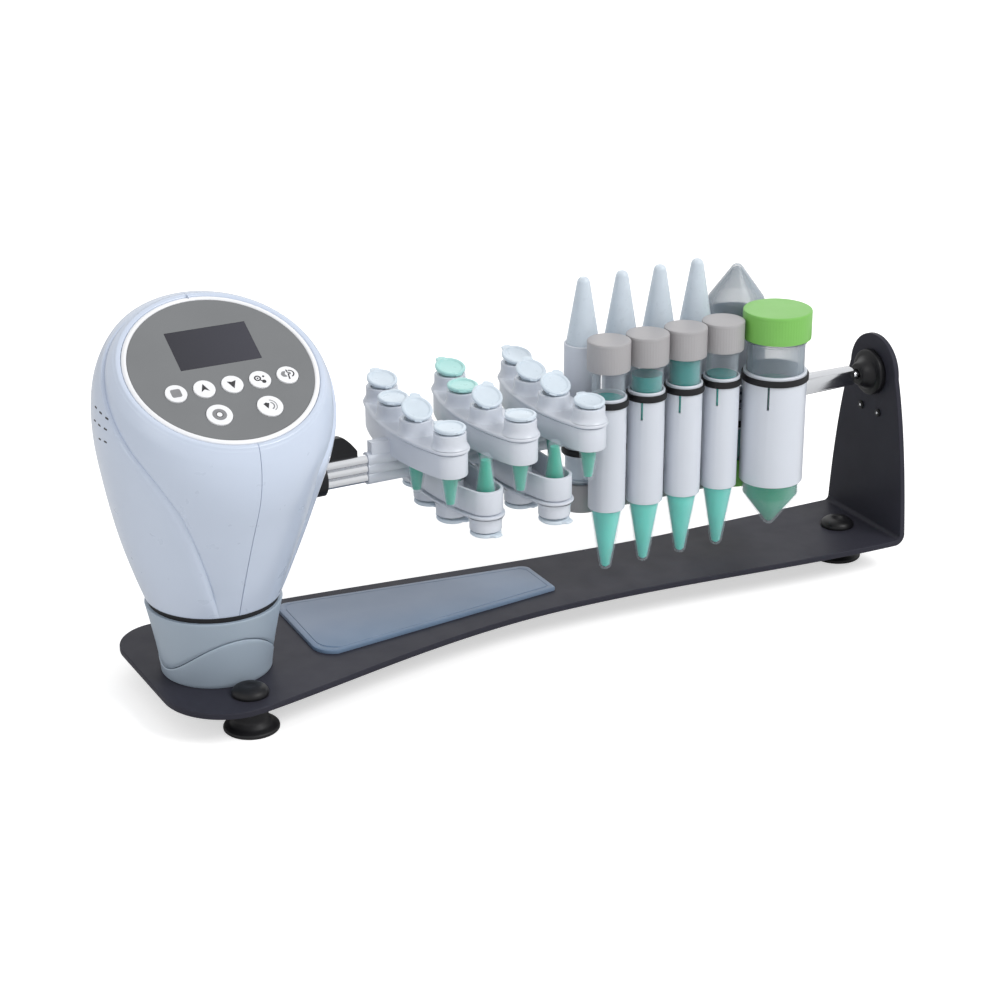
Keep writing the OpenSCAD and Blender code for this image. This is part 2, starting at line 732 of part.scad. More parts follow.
module power_rocker() color(black_colour) placed()
    translate([head_x - inlet_place, inlet_face, inlet_z])
    translate([0, -pivot_depth, 0]) rotate([-rocker_tilt, 0, 0]) translate([0, pivot_depth, 0]) {
        rotate([90, 0, 90]) linear_extrude(rocker_w, center = true) polygon([
            [0.9, rocker_half_h], [-0.4, 0], [0.9, -rocker_half_h],
            [-2.5, -rocker_half_h], [-5, -4], [-5, 4], [-2.5, rocker_half_h]
        ]);
        along_pivot(switch_w - 0.4) cylinder(h = switch_w - 0.4, r = rocker_pin_r);
    }

// Gears with involute teeth
pressure_angle = 20;
gear_play = 0.2;
function involute_lag(r, base_r) =
    r <= base_r ? 0 : let (a = acos(base_r / r)) tan(a) * 180 / PI - a;
function gear_outline(teeth, turn) =
    let (
        pitch_r = gear_module * teeth / 2,
        base_r = pitch_r * cos(pressure_angle),
        root_r = pitch_r - 1.25 * gear_module,
        tip_r = pitch_r + 0.95 * gear_module,
        half_tooth = 90 / teeth - gear_play / 4 / pitch_r * 180 / PI
            + involute_lag(pitch_r, base_r),
        flank = [for (i = [0:4]) max(base_r, root_r) + (tip_r - max(base_r, root_r)) * i / 4]
    )
    [for (k = [0:teeth - 1], side = [-1, 1], i = [0:5])
        let (
            step = side < 0 ? i : 5 - i,
            r = step == 0 ? root_r : flank[step - 1],
            g = turn + 360 * k / teeth
                + side * (half_tooth - involute_lag(step == 0 ? base_r : r, base_r))
        )
        r * [cos(g), sin(g)]];

module gear(teeth, turn) linear_extrude(gear_w) polygon(gear_outline(teeth, turn));

// Seen along +X after this turn, an angle of 0 in the outline points up
module facing_x(x) translate([x, 0, 0]) rotate([90, 0, 90]) children();

module motor_pinion() color(steel_colour) placed() translate([0, 0, pinion_z]) {
    facing_x(gear_x) gear(pinion_teeth, 90 + 180 + 180 / pinion_teeth);
    along_x(left_plate_x - 11) cylinder(h = gear_x - left_plate_x + 11, r = motor_shaft_r);
}

module drive_gear() color(white_colour) placed() on_axis() difference() {
    union() {
        facing_x(gear_x) gear(gear_teeth, 90);
        along_x(gear_x - 3) cylinder(h = gear_w + 5, r = 7);
    }
    along_x(gear_x - 5) cylinder(h = gear_w + 10, r = shaft_r);
    for (g = [0:60:300]) rotate([g, 0, 0]) translate([0, 13.5, 0])
        along_x(gear_x - 1) cylinder(h = gear_w + 2, r = 3.6);
}

module output_shaft() color(steel_colour) placed() on_axis() along_x(left_plate_x - 1)
    cylinder(h = bar_start - left_plate_x + 1, r = shaft_r);

// The bar's section: three lobes joined by a web
module lobed_bar(from, to, extra) on_axis() {
    for (i = [-1:1]) translate([0, 0, i * lobe_pitch])
        along_x(from) cylinder(h = to - from, r = lobe_r + extra);
    translate([from, -lobe_r / 2 - extra, -lobe_pitch])
        cube([to - from, lobe_r + 2 * extra, 2 * lobe_pitch]);
}

// The hub's dome backs the bar on one side, so that the bar lifts out to the other.
module drive_hub() color(black_colour) placed() difference() {
    on_axis() union() {
        along_x(hub_x) cylinder(h = bar_start - hub_x, r = hub_boss_r);
        intersection() {
            along_x(hub_x) rotate_extrude() polygon(concat(
                [[0, 1.5], [hub_r - 1, 1.5], [hub_r, 2.5], [hub_r, hub_len - 8]],
                curve([hub_r, hub_len - 8], [hub_r - 1, hub_len - 5.5],
                    [hub_r - 4.5, hub_len - 2.5], [hub_r - 8, hub_len], 8),
                [[0, hub_len]]
            ));
            translate([hub_x, 0, -hub_foot]) cube([hub_len, hub_r + 1, hub_foot + hub_r + 1]);
        }
    }
    on_axis() along_x(hub_x - 1) cylinder(h = bar_start - hub_x + 1, r = shaft_r);
    lobed_bar(bar_start, hub_face + 1, 0);
}

module rotor_bar() color(steel_colour) placed() lobed_bar(bar_start, bar_end, 0);

module bar_ferrule() color(steel_colour) placed() on_axis() union() {
    rotate([90, 0, 0]) linear_extrude(2 * ferrule_half_w, center = true) polygon([
        [bar_end, -ferrule_h / 2], [ferrule_end - 1, -ferrule_end_h / 2],
        [ferrule_end, -ferrule_end_h / 2 + 1], [ferrule_end, ferrule_end_h / 2 - 1],
        [ferrule_end - 1, ferrule_end_h / 2], [bar_end, ferrule_h / 2]
    ]);
    along_x(ferrule_end - 1) cylinder(h = pin_len + 1, r = pin_r);
}

// Racks for small tubes. The outline is straight on the side away from the head
// and bows towards the head on the other side.
half_span = 1.5 * rack_tube_pitch;
bow = rack_bow + 0.7;
bow_r = (half_span * half_span + bow * bow) / (2 * bow);
bow_angle = asin(half_span / bow_r);
tube_places = [
    [0, -half_span], [-rack_bow, -half_span / 3], [-rack_bow, half_span / 3], [0, half_span]
];

module rack_outline(r) polygon(concat(
    arc([0, half_span], r, 0, 180 - bow_angle, 12),
    arc([bow_r - bow, 0], bow_r + r, 180 - bow_angle + 4, 180 + bow_angle - 4, 12),
    arc([0, -half_span], r, 180 + bow_angle, 360, 12)
));

module rack_body() difference() {
    union() {
        translate([0, 0, skirt_bottom])
            linear_extrude(skirt_top - skirt_bottom) rack_outline(skirt_r);
        translate([0, 0, skirt_top]) linear_extrude(groove_h) rack_outline(skirt_r - 0.5);
        translate([0, 0, skirt_top + groove_h])
            linear_extrude(lid_top - skirt_top - groove_h) rack_outline(skirt_r + lip);
        for (p = tube_places) translate([p[0], p[1], lid_top - tiny]) {
            cylinder(h = 3, r1 = skirt_r + 0.4, r2 = collar_r);
            cylinder(h = collar_top - lid_top + tiny, r = collar_r);
        }
    }
    translate([0, 0, skirt_bottom - 1])
        linear_extrude(skirt_top - skirt_bottom + 1) rack_outline(skirt_r - skirt_wall);
    for (p = tube_places) translate([p[0], p[1], 0]) cylinder(h = 40, r = rack_bore_r);
    translate([-30, -clip_r - clip_gap, 0]) cube([60, 2 * (clip_r + clip_gap), clip_half_h + clip_gap]);
    translate([-30, -riser_half_w - clip_gap, 0])
        cube([30, 2 * (riser_half_w + clip_gap), riser_h + clip_gap]);
}

module upper_rack(i) color(holder_colour) placed() on_axis(rack_x[i]) rack_body();
module lower_rack(i) color(holder_colour) placed() on_axis(lower_x[i]) mirror([0, 0, 1]) rack_body();
module upper_rack_1() upper_rack(0);
module upper_rack_2() upper_rack(1);
module upper_rack_3() upper_rack(2);
module lower_rack_1() lower_rack(0);
module lower_rack_2() lower_rack(1);

// A clip's riser reaches up into its rack and carries the rack's lid
module riser() {
    translate([-24, -riser_half_w, lobe_pitch]) cube([30, 2 * riser_half_w, riser_h - lobe_pitch]);
    translate([-11, -riser_half_w, lobe_pitch]) cube([15, 2 * riser_half_w, skirt_top - lobe_pitch]);
}

module rack_clips() color(holder_colour) placed() for (i = [0:2]) difference() {
    union() {
        lobed_bar(rack_x[i] - clip_reach_left, rack_x[i] + clip_reach_right,
            clip_gap + clip_wall);
        on_axis(rack_x[i]) riser();
        if (i > 0) on_axis(rack_x[i] - rack_pitch + lower_shift) mirror([0, 0, 1])
            translate([-4.6, -riser_half_w, lobe_pitch])
            cube([10, 2 * riser_half_w, skirt_top - lobe_pitch]);
    }
    lobed_bar(rack_x[i] - 40, rack_x[i] + 40, clip_gap);
}

// A small tube hangs by its rim on the rack's collar
module small_tube() translate([0, 0, collar_top]) rotate_extrude($fn = 48) polygon([
    [0, -small_tube_len], [1.2, -small_tube_len], [1.9, -small_tube_len + 0.9],
    [small_tube_r - 0.4, -small_tube_len + 18], [small_tube_r, -small_tube_len + 20],
    [small_tube_r, 0], [small_cap_r, 0], [small_cap_r, 0.8], [small_cap_r - 0.5, 0.8],
    [small_cap_r - 0.5, 1], [small_cap_r, 1], [small_cap_r, small_cap_t - 0.4],
    [small_cap_r - 0.4, small_cap_t], [0, small_cap_t]
]);

module small_tubes() color(frosted_colour) placed() {
    for (x = rack_x, p = tube_places) on_axis(x) translate([p[0], p[1], 0]) small_tube();
    for (x = lower_x, p = tube_places)
        on_axis(x) mirror([0, 0, 1]) translate([p[0], p[1], 0]) small_tube();
}

// Holders: two sleeves, one each side of the bar, the rear one upside down
module sleeve(bore_r, wall) difference() {
    translate([0, 0, -sleeve_bottom]) cylinder(h = sleeve_top + sleeve_bottom, r = bore_r + wall);
    translate([0, 0, -sleeve_bottom - 1])
        cylinder(h = sleeve_top + sleeve_bottom + 2, r = bore_r);
}

module slits(bore_r, wall, w) for (g = [-90, 0, 180])
    rotate([0, 0, g]) translate([bore_r - 1, -w / 2, sleeve_top - slit_len])
        cube([wall + 2, w, slit_len + 1]);

module holder(x, offset, tube_r, wall) difference() {
    union() {
        for (side = [-1, 1]) on_axis(x, side > 0 ? 180 : 0) translate([0, -offset, 0])
            difference() {
                sleeve(tube_r + sleeve_gap, wall);
                slits(tube_r + sleeve_gap, wall, 1.6);
            }
        difference() {
            on_axis(x) centred_box([2 * bridge_half_w, 2 * (offset - tube_r + 1.5),
                2 * bridge_half_h]);
            for (side = [-1, 1]) on_axis(x) translate([0, side * offset, -30])
                cylinder(h = 60, r = tube_r + sleeve_gap);
        }
    }
    lobed_bar(x - 30, x + 30, clip_gap);
}

module thin_holder(i) color(holder_colour) placed()
    holder(thin_x[i], thin_offset, thin_tube_r, thin_wall);
module thin_holder_1() thin_holder(0);
module thin_holder_2() thin_holder(1);
module thin_holder_3() thin_holder(2);
module thin_holder_4() thin_holder(3);
module thick_holder() color(holder_colour) placed()
    holder(thick_x, thick_offset, thick_tube_r, thick_wall);

module band(x, offset, r) for (turn = [0, 180]) on_axis(x, turn)
    translate([0, -offset, band_middle - band_h / 2]) difference() {
        cylinder(h = band_h, r = r + band_t);
        translate([0, 0, -1]) cylinder(h = band_h + 2, r = r);
    }

module retaining_bands() color(black_colour) placed() {
    for (x = thin_x) band(x, thin_offset, thin_tube_r + sleeve_gap + thin_wall);
    band(thick_x, thick_offset, thick_tube_r + sleeve_gap + thick_wall);
}

// A conical tube and the sample in it. Heights are above the rotor axis.
module tube_wall_shape(r, tip, cone, tip_r, top) rotate_extrude() polygon([
    [0, -tip], [tip_r - 1.4, -tip + 0.3], [tip_r, -tip + 2],
    [r, -tip + cone], [r, top - ring_below_cap - 1.2], [r + 1, top - ring_below_cap - 0.6],
    [r + 1, top - ring_below_cap], [r, top - ring_below_cap],
    [r, top + 12], [r - tube_wall, top + 12],
    [r - tube_wall, -tip + cone + 0.2], [tip_r - tube_wall, -tip + 2.4],
    [0, -tip + 1.3]
]);

module sample(r, tip, cone, tip_r, from, to) intersection() {
    rotate_extrude() polygon([
        [0, -tip + 1.35], [tip_r - tube_wall - 0.05, -tip + 2.45],
        [r - tube_wall - 0.05, -tip + cone + 0.2], [r - tube_wall - 0.05, 60], [0, 60]
    ]);
    translate([0, 0, from]) cylinder(h = to - from, r = 2 * r);
}

module cap_shape(r, tube_r, h, top) translate([0, 0, top - h]) difference() {
    rotate_extrude() polygon([
        [0, 0], [r, 0], [r, h - 0.8], [r - 0.8, h], [0, h]
    ]);
    translate([0, 0, -1]) cylinder(h = h - cap_top_t + 1, r = tube_r + cap_gap);
}

module thin_wall_shape()
    tube_wall_shape(thin_tube_r, thin_tip, thin_cone, thin_tip_r, thin_cap_top - thin_cap_h);
module thick_wall_shape()
    tube_wall_shape(thick_tube_r, thick_tip, thick_cone, thick_tip_r, thick_cap_top - thick_cap_h);
module thin_sample(from, to) sample(thin_tube_r, thin_tip, thin_cone, thin_tip_r, from, to);
module thick_sample(from, to)
    sample(thick_tube_r, thick_tip, thick_cone, thick_tip_r, from, to);

module thin_tube(i) placed() on_axis(thin_x[i]) translate([0, -thin_offset, 0]) {
    color(frosted_colour) thin_wall_shape();
    color(sample_colour) thin_sample(-thin_tip, thin_level);
}
module thin_tube_1() thin_tube(0);
module thin_tube_2() thin_tube(1);
module thin_tube_3() thin_tube(2);
module thin_tube_4() thin_tube(3);
module thick_tube() placed() on_axis(thick_x) translate([0, -thick_offset, 0]) {
    color(frosted_colour) thick_wall_shape();
    color(sample_colour) thick_sample(-thick_tip, thick_level);
}

module thin_cap_shape() cap_shape(thin_cap_r, thin_tube_r, thin_cap_h, thin_cap_top);
module thick_cap_shape() cap_shape(thick_cap_r, thick_tube_r, thick_cap_h, thick_cap_top);
module thin_cap(i) color(thin_cap_colour) placed() on_axis(thin_x[i])
    translate([0, -thin_offset, 0]) thin_cap_shape();
module thin_cap_1() thin_cap(0);
module thin_cap_2() thin_cap(1);
module thin_cap_3() thin_cap(2);
module thin_cap_4() thin_cap(3);
module thick_cap() color(thick_cap_colour) placed() on_axis(thick_x)
    translate([0, -thick_offset, 0]) thick_cap_shape();

// The rear tubes hang upside down, so their samples lie on their caps
module rear_tubes() placed() {
    for (x = thin_x) on_axis(x, 180) translate([0, -thin_offset, 0]) {
        color(frosted_colour) thin_wall_shape();
        color(sample_colour) thin_sample(-rear_level, thin_cap_top - thin_cap_h + 12);
    }
    on_axis(thick_x, 180) translate([0, -thick_offset, 0]) {
        color(frosted_colour) thick_wall_shape();
        color(sample_colour) thick_sample(-rear_level, thick_cap_top - thick_cap_h + 12);
    }
}

module rear_caps() placed() {
    color(thin_cap_colour) for (x = thin_x)
        on_axis(x, 180) translate([0, -thin_offset, 0]) thin_cap_shape();
    color(thick_cap_colour)
        on_axis(thick_x, 180) translate([0, -thick_offset, 0]) thick_cap_shape();
}

base_plate();
base_pad();
rubber_feet();
foot_plugs();
pedestal_lower();
pedestal_upper();
neck_ring();
screws();
end_boss();
bearings();
head_left_shell();
head_right_shell();
bezel_ring();
control_panel();
lcd_window();
lcd_module();
control_board();
gear_motor();
motor_bracket();
power_socket();
switch_frame();
power_rocker();
button_stop();
button_up();
button_down();
button_mode();
button_timer();
button_power();
button_run();
motor_pinion();
drive_gear();
output_shaft();
drive_hub();
rotor_bar();
bar_ferrule();
rack_clips();
upper_rack_1();
upper_rack_2();
upper_rack_3();
lower_rack_1();
lower_rack_2();
small_tubes();
thin_holder_1();
thin_holder_2();
thin_holder_3();
thin_holder_4();
thick_holder();
retaining_bands();
thin_tube_1();
thin_tube_2();
thin_tube_3();
thin_tube_4();
thick_tube();
thin_cap_1();
thin_cap_2();
thin_cap_3();
thin_cap_4();
thick_cap();
rear_tubes();
rear_caps();
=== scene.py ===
"""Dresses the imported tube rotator: visible pieces, materials, light and camera."""

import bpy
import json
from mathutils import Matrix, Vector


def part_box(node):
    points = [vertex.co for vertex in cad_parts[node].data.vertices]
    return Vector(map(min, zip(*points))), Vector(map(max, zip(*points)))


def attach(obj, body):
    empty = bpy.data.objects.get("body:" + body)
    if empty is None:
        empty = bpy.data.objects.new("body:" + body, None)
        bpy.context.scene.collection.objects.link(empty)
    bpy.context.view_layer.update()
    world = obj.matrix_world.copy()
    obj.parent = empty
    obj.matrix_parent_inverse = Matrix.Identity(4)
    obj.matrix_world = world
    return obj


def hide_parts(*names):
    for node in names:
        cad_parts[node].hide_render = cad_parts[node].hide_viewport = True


bl_info = {
    "name": "Tube rotator",
    "version": (1, 0, 0),
    "blender": (4, 5, 0),
    "location": "3D View > Sidebar > Rotator",
    "description": "Builds the visible pieces of a laboratory tube rotator on its CAD frame",
    "category": "Object",
}

import json
import math

import bmesh
import bpy
from bpy.props import FloatProperty, FloatVectorProperty, PointerProperty
from mathutils import Matrix, Vector

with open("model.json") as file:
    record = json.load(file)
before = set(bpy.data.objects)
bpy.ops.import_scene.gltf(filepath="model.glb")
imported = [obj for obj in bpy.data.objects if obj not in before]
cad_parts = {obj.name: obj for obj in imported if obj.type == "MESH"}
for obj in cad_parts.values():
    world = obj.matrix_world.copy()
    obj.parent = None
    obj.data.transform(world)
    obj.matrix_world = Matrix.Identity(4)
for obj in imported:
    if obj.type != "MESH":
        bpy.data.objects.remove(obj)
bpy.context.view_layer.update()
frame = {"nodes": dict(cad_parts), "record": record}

MM = 0.001


def mm_box(node):
    """Lowest and highest corner of a CAD node in millimetres."""
    low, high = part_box(node)
    return Vector(low) / MM, Vector(high) / MM


def middle(node, axis):
    low, high = mm_box(node)
    return (low[axis] + high[axis]) / 2


# Places that the CAD part gives
AXIS_Y = middle("output_shaft", 1)
AXIS_Z = middle("output_shaft", 2)
LEFT_X = mm_box("base_plate")[0].x
RIGHT_X = mm_box("base_plate")[1].x
PLATE_TOP = mm_box("base_pad")[0].z
HEAD_X = middle("neck_ring", 0)
HEAD_BOTTOM = mm_box("neck_ring")[1].z
PEDESTAL_TOP = mm_box("neck_ring")[0].z
BAR_START = mm_box("rotor_bar")[0].x
BAR_END = mm_box("rotor_bar")[1].x
THIN_X = [middle(f"thin_cap_{i}", 0) for i in range(1, 5)]
THICK_X = middle("thick_cap", 0)
LID_R = 9.3
RACK_X = [mm_box(f"upper_rack_{i}")[1].x - LID_R for i in range(1, 4)]
LOWER_X = [mm_box(f"lower_rack_{i}")[1].x - LID_R for i in range(1, 3)]
SHEET_T = 3.0
SUPPORT_X = RIGHT_X - SHEET_T


def joint_axis(name):
    for joint in frame["record"]["behaviour"]["joints"]:
        if joint["name"] == name:
            return Vector(joint["axis"])
    raise KeyError(name)


# The panel faces against a button's travel, and the rotor's uprights against a tube's
PANEL_FACE = -joint_axis("button_stop_press")
PANEL_TILT = math.acos(PANEL_FACE.z)
HEAD_TURN = math.atan2(PANEL_FACE.x, -PANEL_FACE.y)
REST_TURN = math.degrees(math.atan2(
    joint_axis("thick_tube_pull").y, -joint_axis("thick_tube_pull").z))

# Meshes are drawn in millimetres with the rotor axis at y = 0
STAND = Matrix.Translation((0, AXIS_Y * MM, 0)) @ Matrix.Scale(MM, 4)


def linear(code):
    """An sRGB hex colour as linear red, green and blue."""
    parts = [int(code[i:i + 2], 16) / 255 for i in (1, 3, 5)]
    return tuple(c / 12.92 if c <= 0.04045 else ((c + 0.055) / 1.055) ** 2.4 for c in parts)


def colour_property(name, description, code):
    return FloatVectorProperty(
        name=name, description=description, subtype="COLOR", size=3,
        min=0.0, max=1.0, default=linear(code))


def length_property(name, description, value):
    """A length in millimetres."""
    return FloatProperty(name=name + " (mm)", description=description, default=value)


class RotatorStandSettings(bpy.types.PropertyGroup):
    sheet_colour: colour_property("Sheet", "Powder-coated base plate", "#33333C")
    pad_colour: colour_property("Pad", "Raised pad on the plate", "#8592A6")
    pedestal_colour: colour_property("Pedestal", "Moulded pedestal", "#A2B0BE")
    rubber_colour: colour_property("Rubber", "Feet and bands", "#17171A")
    sheet_edge: length_property("Sheet edge", "Rounding of the sheet's edges", 0.5)
    pad_height: length_property("Pad height", "Height of the pad above the plate", 1.8)


class RotatorHeadSettings(bpy.types.PropertyGroup):
    shell_colour: colour_property("Shell", "Moulded head shells", "#CBD6E8")
    ring_colour: colour_property("Ring", "Bezel ring and buttons", "#F4F5F8")
    panel_colour: colour_property("Panel", "Membrane of the control panel", "#7E8082")
    screen_colour: colour_property("Screen", "Display behind its window", "#393942")
    crease_depth: length_property("Crease depth", "Step of the shells' creases", 1.5)
    panel_radius: length_property("Panel radius", "Radius of the control panel", 41.2)
    panel_tilt: FloatProperty(
        name="Panel tilt", description="Tilt of the control panel", subtype="ANGLE",
        default=PANEL_TILT)


class RotatorLoadSettings(bpy.types.PropertyGroup):
    holder_colour: colour_property("Holders", "Moulded racks and sleeves", "#D3D8E1")
    tube_colour: colour_property("Tubes", "Frosted tube plastic", "#DFEAF4")
    sample_colour: colour_property("Samples", "Liquid in the tubes", "#68DBCC")
    thin_cap_colour: colour_property("Thin caps", "Caps of the thin tubes", "#A6A4A6")
    thick_cap_colour: colour_property("Thick caps", "Caps of the thick tubes", "#79BC57")
    lid_colour: colour_property("Lids", "Lids of the small tubes", "#DDE9F3")
    slit_width: length_property("Slit", "Width of the sleeves' slits", 1.1)


class RotatorStageSettings(bpy.types.PropertyGroup):
    camera_place: FloatVectorProperty(
        name="Camera", description="Place of the camera", subtype="TRANSLATION", size=3,
        default=(-0.52135, -0.94925, 0.5156))
    camera_aim: FloatVectorProperty(
        name="Aim", description="Point in the middle of the picture", subtype="TRANSLATION",
        size=3, default=(0.00353, 0.02875, 0.05972))
    lens: FloatProperty(
        name="Lens", description="Focal length in millimetres", default=86.4)
    key_power: FloatProperty(
        name="Key light", description="Power of the key light in watts", default=10.0)
    sky: FloatProperty(
        name="Sky", description="Strength of the light from all round", default=0.66)


# Materials

def add_node(tree, kind, settings=None, links=None):
    """Adds a node, sets its properties and sockets, and links sockets to other nodes' outputs."""
    node = tree.nodes.new(kind)
    for key, value in (settings or {}).items():
        if isinstance(key, int) or key in node.inputs:
            node.inputs[key].default_value = value
        else:
            setattr(node, key, value)
    for key, output in (links or {}).items():
        tree.links.new(output, node.inputs[key])
    return node


def new_material(name):
    """An empty material and its tree, with an output node."""
    material = bpy.data.materials.new(name)
    material.use_nodes = True
    tree = material.node_tree
    tree.nodes.clear()
    return material, tree, add_node(tree, "ShaderNodeOutputMaterial")


def rgba(colour):
    """A colour with full opacity."""
    return (*colour, 1.0)


def noise(tree, size_mm, detail):
    """Noise in the object's own coordinates, with features of a real size."""
    place = add_node(tree, "ShaderNodeTexCoord").outputs["Object"]
    cloud = add_node(
        tree, "ShaderNodeTexNoise", {"Scale": 1 / (size_mm * MM), "Detail": detail},
        {"Vector": place})
    return cloud.outputs["Fac"]


def two_colours(tree, factor, stops):
    """A colour between two stops, each a position and a colour."""
    ramp = add_node(tree, "ShaderNodeValToRGB", links={"Fac": factor})
    for element, (position, colour) in zip(ramp.color_ramp.elements, stops):
        element.position = position
        element.color = rgba(colour)
    return ramp.outputs["Color"]


def along_piece(tree, axis):
    """How far along the piece's own box a point lies, from 0 to 1."""
    place = add_node(tree, "ShaderNodeTexCoord").outputs["Generated"]
    return add_node(tree, "ShaderNodeSeparateXYZ", links={"Vector": place}).outputs[axis]


def varied(tree, colour, amount, size_mm):
    """A colour that drifts a little in value over patches of a real size."""
    darker = [c * (1 - amount) for c in colour]
    lighter = [min(1.0, c * (1 + amount)) for c in colour]
    return two_colours(tree, noise(tree, size_mm, 3.0), ((0.35, darker), (0.65, lighter)))


def grain(tree, size_mm, height_mm, strength):
    """A bump from fine noise of a real grain size and height."""
    bump = add_node(
        tree, "ShaderNodeBump", {"Strength": strength, "Distance": height_mm * MM},
        {"Height": noise(tree, size_mm, 2.0)})
    return bump.outputs["Normal"]


def roughness_between(tree, low, high, size_mm):
    """Roughness that wanders between two values over patches of a real size."""
    spread = add_node(
        tree, "ShaderNodeMapRange",
        {"From Min": 0.3, "From Max": 0.7, "To Min": low, "To Max": high},
        {"Value": noise(tree, size_mm, 4.0)})
    return spread.outputs["Result"]


def principled(made, settings, links):
    """Gives a new material its Principled shader, and returns the material."""
    material, tree, output = made
    shader = add_node(tree, "ShaderNodeBsdfPrincipled", settings, links)
    tree.links.new(shader.outputs["BSDF"], output.inputs["Surface"])
    return material


def surface(name, settings, colour, drift, rough=None, bump=None):
    """A material of one shader, whose colour drifts and whose other looks are optional.

    Drift is an amount and a size in mm, rough is low, high and a size in mm, and bump is a
    size and a height in mm and a strength.
    """
    made = new_material(name)
    links = {"Base Color": varied(made[1], colour, *drift)}
    if rough:
        links["Roughness"] = roughness_between(made[1], *rough)
    if bump:
        links["Normal"] = grain(made[1], *bump)
    return principled(made, settings, links)


def powder_coat(colour):
    """Powder-coated steel: a fine orange-peel satin that shows a soft light along its edges."""
    return surface(
        "powder_coated_steel", {"IOR": 1.5, "Specular IOR Level": 0.1}, colour, (0.05, 30),
        (0.4, 0.48, 12), (0.9, 0.012, 0.5))


def moulded(
        name, colour, rough, grain_mm=0.6, grain_height=0.006, drift=0.015, coat=0.0, sheen=0.5):
    """Injection-moulded plastic: even colour, fine spark-eroded grain, a soft sheen."""
    settings = {
        "IOR": 1.53, "Specular IOR Level": sheen, "Coat Weight": coat, "Coat Roughness": 0.12}
    return surface(
        name, settings, colour, (drift, 25), (rough - 0.03, rough + 0.03, 8),
        (grain_mm, grain_height, 0.5))


def polished_steel():
    """Polished stainless steel: mirror-like, with faint drawing lines along the bar."""
    made = new_material("polished_stainless_steel")
    tree = made[1]
    place = add_node(tree, "ShaderNodeTexCoord").outputs["Object"]
    stretch = add_node(
        tree, "ShaderNodeMapping", {"Scale": (30.0, 2500.0, 2500.0)}, {"Vector": place})
    lines = add_node(tree, "ShaderNodeTexNoise", {"Scale": 1.0}, {"Vector": stretch.outputs[0]})
    rough = add_node(
        tree, "ShaderNodeMapRange", {"To Min": 0.08, "To Max": 0.2},
        {"Value": lines.outputs["Fac"]})
    settings = {"Base Color": rgba(linear("#D6D8DC")), "Metallic": 1.0}
    return principled(made, settings, {"Roughness": rough.outputs["Result"]})


def machined(name, code, rough):
    """Turned or rolled metal: fine tool marks break up the reflection."""
    return surface(
        name, {"Metallic": 1.0}, linear(code), (0.04, 6), (rough - 0.06, rough + 0.06, 1.5))


def frosted(name, colour, rough, haze, edge_haze):
    """Frosted polypropylene: a thin milky wall whose haze gathers where it is seen edge on."""
    made = new_material(name)
    tree = made[1]
    edge = add_node(tree, "ShaderNodeLayerWeight", {"Blend": 0.4})
    cloud = add_node(
        tree, "ShaderNodeMapRange", {"To Min": haze, "To Max": edge_haze},
        {"Value": edge.outputs["Facing"]})
    return principled(made, {"IOR": 1.49}, {
        "Base Color": varied(tree, colour, 0.02, 8),
        "Roughness": roughness_between(tree, rough - 0.04, rough + 0.04, 3),
        "Alpha": cloud.outputs["Result"],
    })


def liquid(name, colour):
    """A dyed water sample: smooth, and light goes a few millimetres into it."""
    return surface(name, {
        "Roughness": 0.15, "IOR": 1.33, "Subsurface Weight": 0.6,
        "Subsurface Radius": (0.002, 0.006, 0.005)}, colour, (0.05, 14))


def membrane(colour):
    """Screen-printed polyester film: satin, with a barely visible pebble finish."""
    return surface(
        "polyester_membrane", {"IOR": 1.6, "Specular IOR Level": 0.1}, colour, (0.03, 40),
        (0.36, 0.46, 15), (0.5, 0.004, 0.4))


def display_glass(colour):
    """A dark display under clear acrylic: the far end of the screen catches the light."""
    made = new_material("acrylic_over_display")
    tree = made[1]
    stops = ((0.0, [c * 0.8 for c in colour]), (1.0, [c * 1.2 for c in colour]))
    settings = {"Roughness": 0.25, "IOR": 1.49, "Specular IOR Level": 0.04}
    return principled(
        made, settings, {"Base Color": two_colours(tree, along_piece(tree, "X"), stops)})


def printed(name, code):
    """Screen-printing ink: flat, a little rougher than what it lies on."""
    return surface(name, {"Roughness": 0.5}, linear(code), (0.04, 2))


def pad_plastic(colour):
    """Tinted polycarbonate sheet: its colour runs darker and bluer towards its front edge."""
    made = new_material("tinted_polycarbonate")
    tree = made[1]
    stops = ((0.1, linear("#6E839C")), (0.55, colour))
    return principled(made, {"IOR": 1.58, "Specular IOR Level": 0.15}, {
        "Base Color": two_colours(tree, along_piece(tree, "Y"), stops),
        "Roughness": roughness_between(tree, 0.3, 0.4, 10),
        "Normal": grain(tree, 1.2, 0.01, 0.4),
    })


MATERIALS = {}


